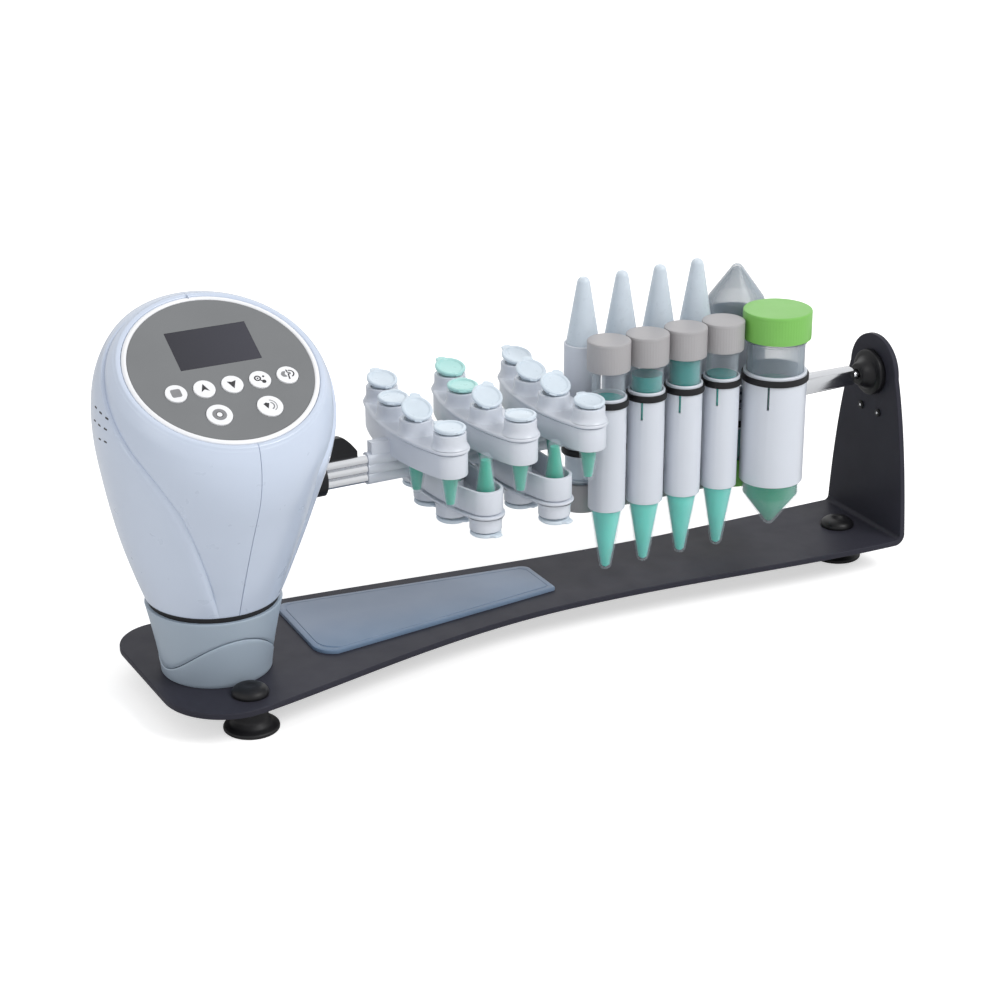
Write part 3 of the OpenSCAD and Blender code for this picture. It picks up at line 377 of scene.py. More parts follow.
def make_materials(scene):
    """Makes every material once, from the colours in the settings."""
    stand, head, load = scene.rotator_stand, scene.rotator_head, scene.rotator_load
    made = {
        "sheet": powder_coat(stand.sheet_colour),
        "pad": pad_plastic(stand.pad_colour),
        "pedestal": moulded("moulded_abs_pedestal", stand.pedestal_colour, 0.36, 0.8, 0.01),
        "rubber": moulded("black_rubber", stand.rubber_colour, 0.5, 0.5, 0.01, 0.1, 0.0, 0.3),
        "black": moulded("black_nylon", linear("#131316"), 0.42, 0.7, 0.008, 0.1, 0.0, 0.25),
        "shell": moulded("glossy_abs_shell", head.shell_colour, 0.3, 1.5, 0.002, 0.006, 0.35),
        "ring": moulded("white_abs", head.ring_colour, 0.25, 1.5, 0.003, 0.01, 0.3),
        "panel": membrane(head.panel_colour),
        "screen": display_glass(head.screen_colour),
        "ink": printed("dark_ink", "#2C2C30"),
        "grey_ink": printed("grey_ink", "#86878A"),
        # Black print for the display's border; the vent slots use it too, as painted shade in their
        # openings
        "ink_and_vent_shade": printed("black_ink_and_vent_shade", "#15151A"),
        "steel": machined("machined_steel", "#C9CCD0", 0.34),
        "plated": machined("nickel_plated_steel", "#DADCE0", 0.2),
        "board": moulded("solder_mask", linear("#2F6B4A"), 0.3, 0.4, 0.01, 0.05),
        "acetal": moulded("acetal", linear("#ECEBE6"), 0.35),
        "chrome": polished_steel(),
        "holder": moulded("polypropylene_moulding", load.holder_colour, 0.32, 0.8, 0.005, 0.01),
        "tube": frosted("clear_polypropylene", load.tube_colour, 0.2, 0.03, 0.3),
        # A glossier copy of the tube plastic, greyed as painted shade: the thick tube's upper wall
        # and the whole rear thick tube
        "thick_wall": frosted("thick_polypropylene_painted_shade", linear("#A3AFBA"), 0.12, 0.24, 0.85),
        "milky": frosted("milky_polypropylene", load.tube_colour, 0.3, 0.72, 0.9),
        "sample": liquid("dyed_sample", load.sample_colour),
        # A darker copy of the sample for the thin tubes' necks: painted shade of the sleeves and
        # caps
        "shaded_sample": liquid("shaded_dyed_sample", linear("#35938F")),
        "small_sample": liquid("small_dyed_sample", linear("#48B39C")),
        "deep_sample": liquid("deep_dyed_sample", linear("#179C78")),
        "lid": frosted("icy_polypropylene", load.lid_colour, 0.3, 0.85, 0.95),
        "aqua": frosted("aqua_polypropylene", linear("#B5E6E2"), 0.3, 0.85, 0.95),
        "thin_cap": moulded("polyethylene_grey", load.thin_cap_colour, 0.42, 0.5, 0.006),
        "thick_cap": moulded("polyethylene_green", load.thick_cap_colour, 0.38, 0.5, 0.006),
    }
    MATERIALS.update(made)


# Outlines and meshes

def bezier(a, b, c, d, steps):
    """Points of a cubic curve after its first point."""
    a, b, c, d = (Vector(p) for p in (a, b, c, d))
    points = []
    for i in range(1, steps + 1):
        t = i / steps
        s = 1 - t
        points.append(a * s ** 3 + b * 3 * t * s * s + c * 3 * t * t * s + d * t ** 3)
    return points


def arc(centre, radius, start, end, steps):
    """Points of an arc, with angles in degrees."""
    points = []
    for i in range(steps + 1):
        g = math.radians(start + (end - start) * i / steps)
        points.append(Vector(centre) + Vector((math.cos(g), math.sin(g))) * radius)
    return points


def soften(points, cut, steps=3, closed=False):
    """Rounds the corners of a chain of points by a short curve."""
    out = []
    last = len(points) - 1
    for k, point in enumerate(points):
        p = Vector(point)
        if not closed and k in (0, last):
            out.append(p)
            continue
        a = Vector(points[k - 1])
        b = Vector(points[(k + 1) % len(points)])
        reach = min(cut, (a - p).length * 0.45, (b - p).length * 0.45)
        if reach < 0.001:
            out.append(p)
            continue
        start = p + (a - p).normalized() * reach
        end = p + (b - p).normalized() * reach
        for i in range(steps + 1):
            t = i / steps
            out.append(start * (1 - t) ** 2 + p * (2 * t * (1 - t)) + end * t * t)
    return out


def inset(outline, amount):
    """An outline drawn counter-clockwise, moved inwards."""
    out = []
    for k, p in enumerate(outline):
        before = (p - outline[k - 1]).normalized()
        after = (outline[(k + 1) % len(outline)] - p).normalized()
        along = (before + after).normalized()
        inward = Vector((-along.y, along.x))
        square = Vector((-before.y, before.x))
        out.append(p + inward * (amount / max(0.5, inward.dot(square))))
    return out


def add_face(bm, corners, material=0, smooth=True):
    face = bm.faces.new(corners)
    face.material_index = material
    face.smooth = smooth
    return face


def join_rings(bm, a, b, material=0, closed=True):
    """Fills between two rings of vertices. A ring may be a single vertex."""
    count = max(len(a), len(b))
    for i in range(count if closed else count - 1):
        j = (i + 1) % count
        if len(a) == 1:
            add_face(bm, (a[0], b[i], b[j]), material)
        elif len(b) == 1:
            add_face(bm, (a[i], b[0], a[j]), material)
        else:
            add_face(bm, (a[i], b[i], b[j], a[j]), material)


def join_all(bm, rings, material=0, closed=True):
    """Fills between each ring of vertices and the next."""
    for a, b in zip(rings, rings[1:]):
        join_rings(bm, a, b, material, closed)


def turned(bm, profile, place=Matrix(), steps=64, material=0, closed=False, ribs=0, rib=0.0):
    """Adds a surface of revolution from (radius, height) points, with optional fine ribs."""
    rings = []
    for point in profile:
        radius, height = point[0], point[1]
        ribbed = rib if len(point) > 2 and point[2] else 0.0
        if radius < 0.001:
            rings.append([bm.verts.new(place @ Vector((0, 0, height)))])
            continue
        ring = []
        for i in range(steps):
            g = 2 * math.pi * i / steps
            r = radius + ribbed * (0.5 + 0.5 * math.cos(ribs * g))
            ring.append(bm.verts.new(place @ Vector((r * math.cos(g), r * math.sin(g), height))))
        rings.append(ring)
    join_all(bm, rings, material)
    if closed:
        join_rings(bm, rings[-1], rings[0], material)


def close_ends(bm, rings, material=0):
    """Fills between rings and closes both ends with flat faces."""
    join_all(bm, rings, material)
    add_face(bm, rings[0][::-1], material, smooth=False)
    add_face(bm, rings[-1], material, smooth=False)


def stacked(bm, outline, levels, place=Matrix(), material=0):
    """Adds rings of an outline at (inset, height) levels and closes both ends."""
    outline = [Vector(p) for p in outline]
    rings = []
    for amount, height in levels:
        ring = inset(outline, amount) if amount else outline
        rings.append([bm.verts.new(place @ Vector((p.x, p.y, height))) for p in ring])
    close_ends(bm, rings, material)


def slab_levels(low, high, edge):
    """Levels of a plate whose upper and lower edges are rounded."""
    return [
        (edge, low), (edge * 0.3, low + edge * 0.3), (0, low + edge),
        (0, high - edge), (edge * 0.3, high - edge * 0.3), (edge, high),
    ]


def shift(x, y, z=0.0):
    return Matrix.Translation((x, y, z))


def rotation(degrees, axis="X"):
    return Matrix.Rotation(math.radians(degrees), 4, axis)


def on_axis(x=0.0, turn=0.0):
    """A place on the rotor axis, turned about it by some degrees."""
    return shift(x, 0, AXIS_Z) @ rotation(turn)


def on_rotor(x=0.0, turn=0.0):
    """A place on the rotor at rest, turned from upright as the CAD part is."""
    return on_axis(x, REST_TURN + turn)


def along_x(x=0.0):
    """Turns a piece drawn upwards so that it points along X."""
    return shift(x, 0) @ rotation(90, "Y")


def on_panel(scene):
    """The control panel's frame: x to the right, y up the slope, z out of the panel."""
    place = shift(HEAD_X, RIM_Y, HEAD_BOTTOM + RIM_Z) @ Matrix.Rotation(HEAD_TURN, 4, "Z")
    return place @ Matrix.Rotation(scene.rotator_head.panel_tilt, 4, "X")


def make_piece(name, bm, materials, body, replaces=(), place=Matrix(), sharp=38):
    """Turns a mesh in millimetres into a piece in metres that rides on a body."""
    bmesh.ops.recalc_face_normals(bm, faces=bm.faces)
    mesh = bpy.data.meshes.new(name)
    bm.to_mesh(mesh)
    bm.free()
    mesh.transform(STAND @ place)
    for key in materials:
        mesh.materials.append(MATERIALS[key])
    mesh.set_sharp_from_angle(angle=math.radians(sharp))
    piece = bpy.data.objects.new(name, mesh)
    bpy.context.scene.collection.objects.link(piece)
    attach(piece, body)
    if replaces:
        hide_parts(*replaces)
    return piece


def round_edges(piece, width):
    """Rounds the sharp edges of a piece, with a width in millimetres."""
    bevel = piece.modifiers.new("rounded_edges", "BEVEL")
    bevel.width = width * MM
    bevel.segments = 3
    bevel.limit_method = "ANGLE"
    bevel.angle_limit = math.radians(40)
    bevel.harden_normals = True


def dress_all(materials):
    """Gives the objects of CAD nodes one material each."""
    for node, key in materials.items():
        mesh = frame["nodes"][node].data
        mesh.materials.clear()
        mesh.materials.append(MATERIALS[key])


# Stand

BEND_R = 2.6
BEND_HALF_W = 32.5
SUPPORT_TOP_R = 19.2
LOBE_FRONT = 52.0
LOBE_BACK = 57.0
WAIST_FRONT = 20.0
FOOT_R = 13.1
FOOT_STEM_R = 8.0
FOOT_SPREAD = 35.5
PLUG_H = 4.4
LEFT_FOOT = 36.3
RIGHT_FOOT = 20.0
PAD_START = 80.5
PAD_LEN = 135.0
BEND_X = RIGHT_X - SHEET_T - BEND_R


def sheet_outline():
    """The flat part of the sheet, counter-clockwise, ending at the line of the bend."""
    front_r, back_r = 31.0, 23.0
    front_lobe = (LEFT_X + front_r + 2, -LOBE_FRONT)
    waist = (LEFT_X + 214, -WAIST_FRONT)
    back_lobe = (LEFT_X + back_r, LOBE_BACK)
    back_waist = (LEFT_X + 314, BEND_HALF_W + 0.5)
    points = arc((LEFT_X + back_r, LOBE_BACK - back_r), back_r, 90, 180, 20)
    points += arc((LEFT_X + front_r, front_r - LOBE_FRONT), front_r, 180, 270, 24)
    points += bezier(
        front_lobe, (front_lobe[0] + 46, front_lobe[1] + 8), (waist[0] - 70, waist[1]), waist, 30)
    points += bezier(
        waist, (waist[0] + 70, waist[1]), (BEND_X - 60, -BEND_HALF_W), (BEND_X, -BEND_HALF_W), 24)
    points.append(Vector((BEND_X, BEND_HALF_W)))
    points += bezier(
        (BEND_X, BEND_HALF_W), (BEND_X - 30, BEND_HALF_W),
        (back_waist[0] + 30, back_waist[1]), back_waist, 12)
    points += bezier(
        back_waist, (back_waist[0] - 80, back_waist[1] - 1),
        (back_lobe[0] + 80, back_lobe[1]), back_lobe, 30)[:-1]
    return points


def support_side():
    """One side of the upright from its foot to its round top, as (y, z)."""
    shoulder = AXIS_Z + 1
    foot = PLATE_TOP + BEND_R
    side = bezier(
        (BEND_HALF_W, foot), (BEND_HALF_W - 2, foot + 28),
        (SUPPORT_TOP_R + 7, shoulder - 22), (SUPPORT_TOP_R, shoulder), 24)
    return side + arc((0, shoulder), SUPPORT_TOP_R, 3, 90, 24)


class ROTATOR_OT_base_plate(bpy.types.Operator):
    """Bend the base plate from one sheet, with the end support turned up"""
    bl_idname = "rotator.base_plate"
    bl_label = "Base plate"

    def execute(self, context):
        stand = context.scene.rotator_stand
        bm = bmesh.new()
        outline = sheet_outline()
        top = [bm.verts.new((p.x, p.y, PLATE_TOP)) for p in outline]
        low = [bm.verts.new((p.x, p.y, PLATE_TOP - SHEET_T)) for p in outline]
        add_face(bm, top, smooth=False)
        add_face(bm, low[::-1], smooth=False)
        seam = next(k for k, p in enumerate(outline) if p.x > BEND_X - 0.001)
        count = len(outline)
        for k in range(count):
            j = (k + 1) % count
            if k != seam:
                add_face(bm, (top[k], low[k], low[j], top[j]))
        section = [top[seam], top[seam + 1], low[seam + 1], low[seam]]
        centre_z = PLATE_TOP + BEND_R
        steps = 10
        for i in range(1, steps + 1):
            g = math.radians(-90 + 90 * i / steps)
            fresh = []
            for radius, y in (
                    (BEND_R, -BEND_HALF_W), (BEND_R, BEND_HALF_W),
                    (BEND_R + SHEET_T, BEND_HALF_W), (BEND_R + SHEET_T, -BEND_HALF_W)):
                x = BEND_X + radius * math.cos(g)
                fresh.append(bm.verts.new((x, y, centre_z + radius * math.sin(g))))
            join_rings(bm, section, fresh)
            section = fresh
        side = support_side()
        path = [(-p.x, p.y) for p in side] + [(p.x, p.y) for p in side[-2::-1]]
        inner = [section[0]] + [bm.verts.new((SUPPORT_X, y, z)) for y, z in path] + [section[1]]
        outer = [section[3]] + [bm.verts.new((RIGHT_X, y, z)) for y, z in path] + [section[2]]
        add_face(bm, inner, smooth=False)
        add_face(bm, outer[::-1], smooth=False)
        join_rings(bm, inner, outer, closed=False)
        piece = make_piece("bent_sheet", bm, ["sheet"], "stand", ["base_plate"])
        round_edges(piece, stand.sheet_edge)
        return {"FINISHED"}


def pad_outline(reach):
    """The pad seen from above, moved inwards by a reach."""
    left = LEFT_X + PAD_START + reach
    right = LEFT_X + PAD_START + PAD_LEN - reach
    corners = arc((left + 8, 39 - reach), 6, 84, 180, 12)
    corners += arc((left + 11, -6 + reach), 11, 180, 258, 14)
    corners += arc((right - 2, -0.5 + reach), 2, 285, 350, 6)
    corners += arc((right - 5, 24.5 - reach), 5, 10, 84, 8)
    return corners


class ROTATOR_OT_base_pad(bpy.types.Operator):
    """Lay the raised pad on the plate, with the fine line inside its edge"""
    bl_idname = "rotator.base_pad"
    bl_label = "Base pad"

    def execute(self, context):
        height = context.scene.rotator_stand.pad_height
        bm = bmesh.new()
        rings = []
        for reach, z in (
                (0, 0), (0, height - 0.7), (0.2, height - 0.3), (0.7, height - 0.1),
                (2.6, height - 0.1), (2.8, height - 0.3), (3.1, height - 0.3), (3.3, height)):
            rings.append([bm.verts.new((p.x, p.y, z)) for p in pad_outline(reach)])
        close_ends(bm, rings)
        make_piece(
            "tinted_pad", bm, ["pad"], "stand", ["base_pad"], shift(0, 0, PLATE_TOP))
        return {"FINISHED"}


class ROTATOR_OT_feet(bpy.types.Operator):
    """Put the rubber feet under the plate and their domed plugs on it"""
    bl_idname = "rotator.feet"
    bl_label = "Feet and plugs"

    def execute(self, context):
        plate_bottom = PLATE_TOP - SHEET_T
        foot = soften([
            (0, 0.4), (FOOT_R - 3, 0.4), (FOOT_R - 2.4, 0), (FOOT_R, 0), (FOOT_R, 1.8),
            (FOOT_STEM_R + 2, 3), (FOOT_STEM_R, 5.5), (FOOT_STEM_R, plate_bottom - 3),
            (FOOT_STEM_R + 1.6, plate_bottom - 1.4), (FOOT_STEM_R + 1.6, plate_bottom),
            (0, plate_bottom)], 0.9)
        plug = [(FOOT_STEM_R + 0.6, 0), (FOOT_STEM_R + 0.75, 0.7)]
        plug += bezier(
            (FOOT_STEM_R + 0.75, 0.7), (FOOT_STEM_R + 0.4, PLUG_H - 1),
            (FOOT_STEM_R - 2.2, PLUG_H), (2.4, PLUG_H), 12)
        plug += [(1.6, PLUG_H - 0.25), (0, PLUG_H - 0.3)]
        feet, plugs = bmesh.new(), bmesh.new()
        left = LEFT_X + LEFT_FOOT
        for x, y in ((left, -FOOT_SPREAD), (left, FOOT_SPREAD), (RIGHT_X - RIGHT_FOOT, 0)):
            turned(feet, foot, shift(x, y))
            turned(plugs, plug, shift(x, y, PLATE_TOP))
        make_piece("feet", feet, ["rubber"], "stand", ["rubber_feet"])
        make_piece("plugs", plugs, ["black"], "stand", ["foot_plugs"])
        return {"FINISHED"}


PEDESTAL_R = 25.9
SHELL_START = 1.1
NECK_R = 32.2
WAVE_HIGH = 24.5
WAVE_DROP = 26.0
PEDESTAL_STEPS = 128


def flank(height):
    """Radius of the pedestal at a height above the plate."""
    share = max(0.0, height / (PEDESTAL_TOP - PLATE_TOP))
    return PEDESTAL_R + (NECK_R - PEDESTAL_R) * share ** 1.25


def wave(angle):
    """Height of the joint between the pedestal's two mouldings."""
    across = flank(14) * math.cos(angle) / NECK_R
    return WAVE_HIGH - WAVE_DROP * across * across


def pedestal_ring(kind, value, depth):
    """One ring of a moulding: from the plate, a share of its height, or beside the wave."""
    height = PEDESTAL_TOP - PLATE_TOP
    ring = []
    for i in range(PEDESTAL_STEPS):
        g = 2 * math.pi * i / PEDESTAL_STEPS
        joint = wave(g)
        z = {
            "foot": value,
            "share": value * joint,
            "seam": joint + value,
            "above": joint + 0.6 + (height - joint - 0.6) * value,
            "top": height + value,
        }[kind]
        r = flank(z) - depth
        ring.append((r * math.cos(g), r * math.sin(g), z))
    return ring


class ROTATOR_OT_pedestal(bpy.types.Operator):
    """Stand the pedestal's two mouldings on the plate, with the wave between them"""
    bl_idname = "rotator.pedestal"
    bl_label = "Pedestal"

    def execute(self, context):
        lower = [("foot", 0, 3.0), ("foot", 0, 0.3), ("foot", 0.3, 0)]
        lower += [("share", k / 10, 0) for k in range(1, 10)]
        lower += [("seam", -0.5, 0), ("seam", -0.12, 0.15), ("seam", 0, 0.5), ("seam", 0, 2.5)]
        upper = [("seam", 0.35, 2.5), ("seam", 0.35, 0.7), ("seam", 0.6, 0.32)]
        upper += [("above", k / 10, 0.25) for k in range(1, 10)]
        upper += [("top", -0.4, 0.25), ("top", -0.1, 0.4), ("top", 0, 0.8), ("top", 0, 5.0)]
        for name, rows, node in (
                ("pedestal_foot", lower, "pedestal_lower"),
                ("pedestal_body", upper, "pedestal_upper")):
            bm = bmesh.new()
            join_all(bm, [[bm.verts.new(p) for p in pedestal_ring(*row)] for row in rows])
            make_piece(
                name, bm, ["pedestal"], "stand", [node],
                shift(HEAD_X, 0, PLATE_TOP), sharp=60)
        bm = bmesh.new()
        gap = HEAD_BOTTOM + SHELL_START - PEDESTAL_TOP
        turned(bm, [(26, 0), (30.2, 0), (30.2, gap), (26, gap)], closed=True, steps=96)
        make_piece(
            "neck_gasket", bm, ["rubber"], "stand", ["neck_ring"],
            shift(HEAD_X, 0, PEDESTAL_TOP))
        return {"FINISHED"}


SCREW_DROP = 20.7
SCREW_SIDE = 7.3


class ROTATOR_OT_end_boss(bpy.types.Operator):
    """Fit the black boss that carries the bar's far end, and its two small screws"""
    bl_idname = "rotator.end_boss"
    bl_label = "End boss"

    def execute(self, context):
        length, radius, pin_r = 10.0, 12.0, 2.0
        profile = [(pin_r + 0.5, 3), (pin_r + 0.5, 0.4), (pin_r + 0.9, 0)]
        profile += bezier((5.0, 0), (6.8, 0.2), (6.4, 5.0), (radius - 2.6, 6.0), 12)
        profile += soften([
            (radius - 2.5, 6.0), (radius, 6.6), (radius, length), (pin_r + 0.5, length)], 0.7)
        bm = bmesh.new()
        turned(bm, profile, on_axis() @ along_x(SUPPORT_X - length), steps=72)
        make_piece("end_boss_cover", bm, ["black"], "stand", ["end_boss"])
        bm = bmesh.new()
        head = [(0, -0.2), (1.4, -0.18), (2.0, 0), (2.1, 0.4), (2.1, 0.8), (0, 0.8)]
        for y in (-SCREW_SIDE, SCREW_SIDE):
            place = shift(0, y, AXIS_Z - SCREW_DROP) @ along_x(SUPPORT_X - 0.8)
            turned(bm, head, place, steps=24)
            turned(bm, [(0, -0.26), (0.7, -0.24), (0.7, 0.2)], place, steps=6, material=1)
        make_piece("end_screws", bm, ["black", "plated"], "stand")
        dress_all({"screws": "black", "bearings": "steel"})
        return {"FINISHED"}


# Head

RIM_Y = -23.5
RIM_Z = 117.0
RIM_R = 46.4
HALF_GIRTH = 150.0
SKIN_INSET = 0.12
GROOVE = 0.45
BEVEL_WIDTH = 3.2
SHELL_RINGS = 96
# The head's ovals from its foot to its rim: how far back and how high the middle of each
# lies, its tilt in degrees, its half width and its half depth
HEAD_ROWS = [
    (0, 0, 0, 31.2, 31.2),
    (-0.5, 13, 2, 36, 36),
    (-2, 34, 5, 42.6, 43),
    (-5, 58, 11, 48.5, 49.5),
    (-9, 81, 18, 53, 55),
    (-14, 99, 25, 54, 56),
    (-19, 111, math.degrees(PANEL_TILT) - 1, 51, 53),
    (RIM_Y, RIM_Z, math.degrees(PANEL_TILT), RIM_R, RIM_R),
]
# The creases: at a share of the head's height, the share of the way from front to back
LEFT_CREASE = [
    (0, 0.089), (0.176, 0.119), (0.35, 0.165), (0.524, 0.218), (0.66, 0.29),
    (0.72, 0.35), (0.78, 0.43), (0.83, 0.52), (0.88, 0.62), (0.94, 0.74), (1, 0.83),
]
RIGHT_CREASE = [
    (0, 0.33), (0.2, 0.317), (0.365, 0.283), (0.5, 0.244), (0.6, 0.222),
    (0.66, 0.27), (0.72, 0.35), (0.8, 0.42), (0.86, 0.5), (0.9, 0.611), (0.95, 0.75), (1, 0.83),
]


def oval(share):
    """The head's oval at a share of its height, by a smooth curve through the rows."""
    last = len(HEAD_ROWS) - 1
    s = share * last
    i = min(int(s), last - 1)
    t = s - i
    a, b, c, d = (HEAD_ROWS[max(0, min(last, i + k))] for k in (-1, 0, 1, 2))
    return [
        0.5 * (2 * q + (r - p) * t + (2 * p - 5 * q + 4 * r - e) * t * t
               + (3 * q - p - 3 * r + e) * t ** 3)
        for p, q, r, e in zip(a, b, c, d)]


def rim_point(along, across, out, back, up, tilt):
    """A point of a tilted oval: along and across it, and out of its plane."""
    level = across * math.cos(tilt) - out * math.sin(tilt)
    return Vector((
        HEAD_X + along * math.cos(HEAD_TURN) - level * math.sin(HEAD_TURN),
        back + along * math.sin(HEAD_TURN) + level * math.cos(HEAD_TURN),
        HEAD_BOTTOM + up + across * math.sin(tilt) + out * math.cos(tilt)))


def head_point(share, angle):
    """A point on the head's plain surface."""
    back, up, tilt, half_w, half_d = oval(share)
    along = half_w * math.cos(angle)
    across = half_d * math.sin(angle)
    return rim_point(along, across, 0, back, up, math.radians(tilt))


def head_normal(share, angle):
    """The direction out of the head's plain surface at a point."""
    step = 0.004
    low, high = max(0.0, share - step), min(1.0, share + step)
    up = head_point(high, angle) - head_point(low, angle)
    round_way = head_point(share, angle + step) - head_point(share, angle - step)
    return round_way.cross(up).normalized()


def reading(table, share):
    """A value from a table of pairs, averaged a little so that it has no corners."""
    total = 0.0
    for k in range(-3, 4):
        s = min(1.0, max(0.0, share + k * 0.012))
        for (a, u), (b, v) in zip(table, table[1:]):
            if a <= s <= b:
                total += u + (v - u) * (s - a) / (b - a)
                break
    return total / 7


def crease_lift(distance, depth):
    """Height beside a crease: the skin dips to a fine groove, and a bevel rises behind it."""
    if distance <= 0:
        groove = GROOVE * max(0.0, 1 + distance / 0.8)
        return -depth * math.exp(distance / 14) - groove
    t = min(1.0, distance / BEVEL_WIDTH)
    groove = GROOVE * max(0.0, 1 - distance / 0.5)
    return -depth * (1 - t * t * (3 - 2 * t)) - groove


def shell_columns(bend):
    """Shares of the way round a shell, set closer on both sides of its crease."""
    columns = [bend * k / 24 for k in range(24)]
    columns += [bend + step for step in (-0.006, 0, 0.003, 0.006, 0.012, 0.02)]
    return columns + [bend + 0.03 + (1 - bend - 0.03) * k / 44 for k in range(1, 45)]


def shell_grid(side, crease, depth):
    """Points of a shell's outer skin, ring by ring from its foot to inside its rim."""
    def angle_at(share_round):
        return math.radians(-90) + side * math.pi * share_round

    grid = []
    for k in range(2, SHELL_RINGS - 2):
        share = k / SHELL_RINGS
        bend = reading(crease, share)
        fade = min(1.0, share / 0.16) * min(1.0, max(0.0, (0.97 - share) / 0.12))
        ring = []
        for u in shell_columns(bend):
            angle = angle_at(u)
            lift = crease_lift((u - bend) * HALF_GIRTH, depth) * fade - SKIN_INSET
            ring.append(head_point(share, angle) + head_normal(share, angle) * lift)
        grid.append(ring)
    for cut, height in (
            (0.0, -0.75), (0.2, -0.3), (0.6, -0.06), (1.1, 0.0), (1.9, 0.0),
            (2.35, -0.12), (2.55, -0.5), (2.6, -2.2)):
        reach = RIM_R - cut
        angles = [angle_at(u) for u in shell_columns(bend)]
        grid.append([
            rim_point(reach * math.cos(g), reach * math.sin(g), height, RIM_Y, RIM_Z, PANEL_TILT)
            for g in angles])
    centre = Vector((HEAD_X, 0, HEAD_BOTTOM))
    foot = grid[0]
    foot_z = foot[0].z
    grid[0] = [p + Vector((0, 0, 0.4)) for p in foot]
    for cut, lift in ((0.15, 0.15), (0.5, 0.0), (3.0, 0.0)):
        inward = [p + (centre - p).normalized() * cut for p in foot]
        grid.insert(0, [Vector((p.x, p.y, foot_z + lift)) for p in inward])
    return grid


def shell_mesh(side, crease, depth):
    """One head shell, whose ends fold inwards and leave the dark line between the shells."""
    fold = 0.16
    aside = Vector((math.cos(HEAD_TURN), math.sin(HEAD_TURN), 0)) * side
    inward = Vector((-math.sin(HEAD_TURN), math.cos(HEAD_TURN), 0))
    bm = bmesh.new()
    skin = []
    for ring in shell_grid(side, crease, depth):
        front, rear = ring[0] + aside * fold, ring[-1] + aside * fold
        chain = [ring[0] + aside * 0.05 + inward * 2.0, ring[0] + aside * 0.06 + inward * 0.45]
        chain += [front] + ring[1:-1] + [rear]
        chain += [ring[-1] + aside * 0.06 - inward * 0.45, ring[-1] + aside * 0.05 - inward * 2.0]
        skin.append([bm.verts.new(p) for p in chain])
    join_all(bm, skin, closed=False)
    return bm


# Each vent slot's share of the head's height, and its angle round the head
VENT_SINK = 0.58
VENTS = [
    (0.775, 186), (0.755, 180), (0.735, 174), (0.725, 187), (0.7, 181),
    (0.68, 175), (0.67, 188), (0.645, 182)]


def vent_place(share, angle):
    """A place flush with the skin, along the way that the rows of slots lean."""
    point = head_point(share, angle)
    out = head_normal(share, angle)
    along = (head_point(share + 0.02, angle + 0.09) - point).normalized()
    along = (along - out * along.dot(out)).normalized()
    axes = Matrix((out.cross(along), along, out)).transposed().to_4x4()
    return Matrix.Translation(point - out * VENT_SINK) @ axes


class ROTATOR_OT_head_shells(bpy.types.Operator):
    """Loft the two head shells with their creases, seam and vent slots"""
    bl_idname = "rotator.head_shells"
    bl_label = "Head shells"

    def execute(self, context):
        depth = context.scene.rotator_head.crease_depth
        for name, side, crease in (
                ("left_shell", -1, LEFT_CREASE), ("right_shell", 1, RIGHT_CREASE)):
            bm = shell_mesh(side, crease, depth)
            make_piece(
                name, bm, ["shell"], "stand", [f"head_{name}"], sharp=50)
        # The vent slots are dark pills just proud of the skin: painted shade where the openings
        # would be
        bm = bmesh.new()
        outline = arc((0, 0.9), 0.45, 0, 180, 8) + arc((0, -0.9), 0.45, 180, 360, 8)
        for share, turn in VENTS:
            place = vent_place(share, math.radians(turn))
            stacked(bm, outline, [(0, -0.5), (0, 0.4), (0.1, 0.55)], place)
        make_piece("vent_slots", bm, ["ink_and_vent_shade"], "stand")
        return {"FINISHED"}


WINDOW_HALF = (19, 11.3)
WINDOW_CENTRE = (1, 13.4)


class ROTATOR_OT_control_panel(bpy.types.Operator):
    """Fit the bezel ring, the membrane and the display window"""
    bl_idname = "rotator.control_panel"
    bl_label = "Control panel"

    def execute(self, context):
        radius = context.scene.rotator_head.panel_radius
        place = on_panel(context.scene)
        bm = bmesh.new()
        profile = soften([
            (radius - 1.7, -2.7), (radius + 2.45, -2.7), (radius + 2.45, -0.1),
            (radius + 1.4, 0.5), (radius + 0.8, 0.5), (radius + 0.1, 0.0),
            (radius + 0.1, -1.3), (radius - 1.7, -1.3)], 0.4, closed=True)
        turned(bm, profile, steps=160, closed=True)
        make_piece(
            "bezel", bm, ["ring"], "stand", ["bezel_ring"], place, sharp=60)
        bm = bmesh.new()
        w, h = WINDOW_HALF
        stacked(bm, [(w, h), (-w, h), (-w, -h), (w, -h)], [(0, -1.3), (0, -0.1), (0.1, 0)])
        top = max(bm.faces, key=lambda f: f.calc_center_median().z)
        bmesh.ops.inset_region(bm, faces=[top], thickness=0.75)
        top.material_index = 1
        for face in bm.faces:
            face.smooth = False
        make_piece(
            "display", bm, ["ink_and_vent_shade", "screen"], "stand", ["lcd_window"],
            place @ shift(*WINDOW_CENTRE))
        dress_all({
            "control_panel": "panel", "lcd_module": "plated", "control_board": "board",
            "gear_motor": "steel", "motor_bracket": "steel", "power_socket": "black",
            "switch_frame": "black", "power_rocker": "rubber"})
        return {"FINISHED"}


def patch(bm, z, material, *points):
    """A flat face with the given corners."""
    add_face(bm, [bm.verts.new((x, y, z)) for x, y in points], material, smooth=False)


def disc(bm, z, material, x, y, radius, steps=12):
    """A flat round face."""
    patch(bm, z, material, *arc((x, y), radius, 0, 360 - 360 / steps, steps - 1))


def band(bm, z, material, x, y, outer, inner, start, end, steps=24):
    """A flat ring or a part of one."""
    a, b = (
        [bm.verts.new((p.x, p.y, z)) for p in arc((x, y), radius, start, end, steps)]
        for radius in (outer, inner))
    for k in range(steps):
        add_face(bm, (a[k], a[k + 1], b[k + 1], b[k]), material, smooth=False)


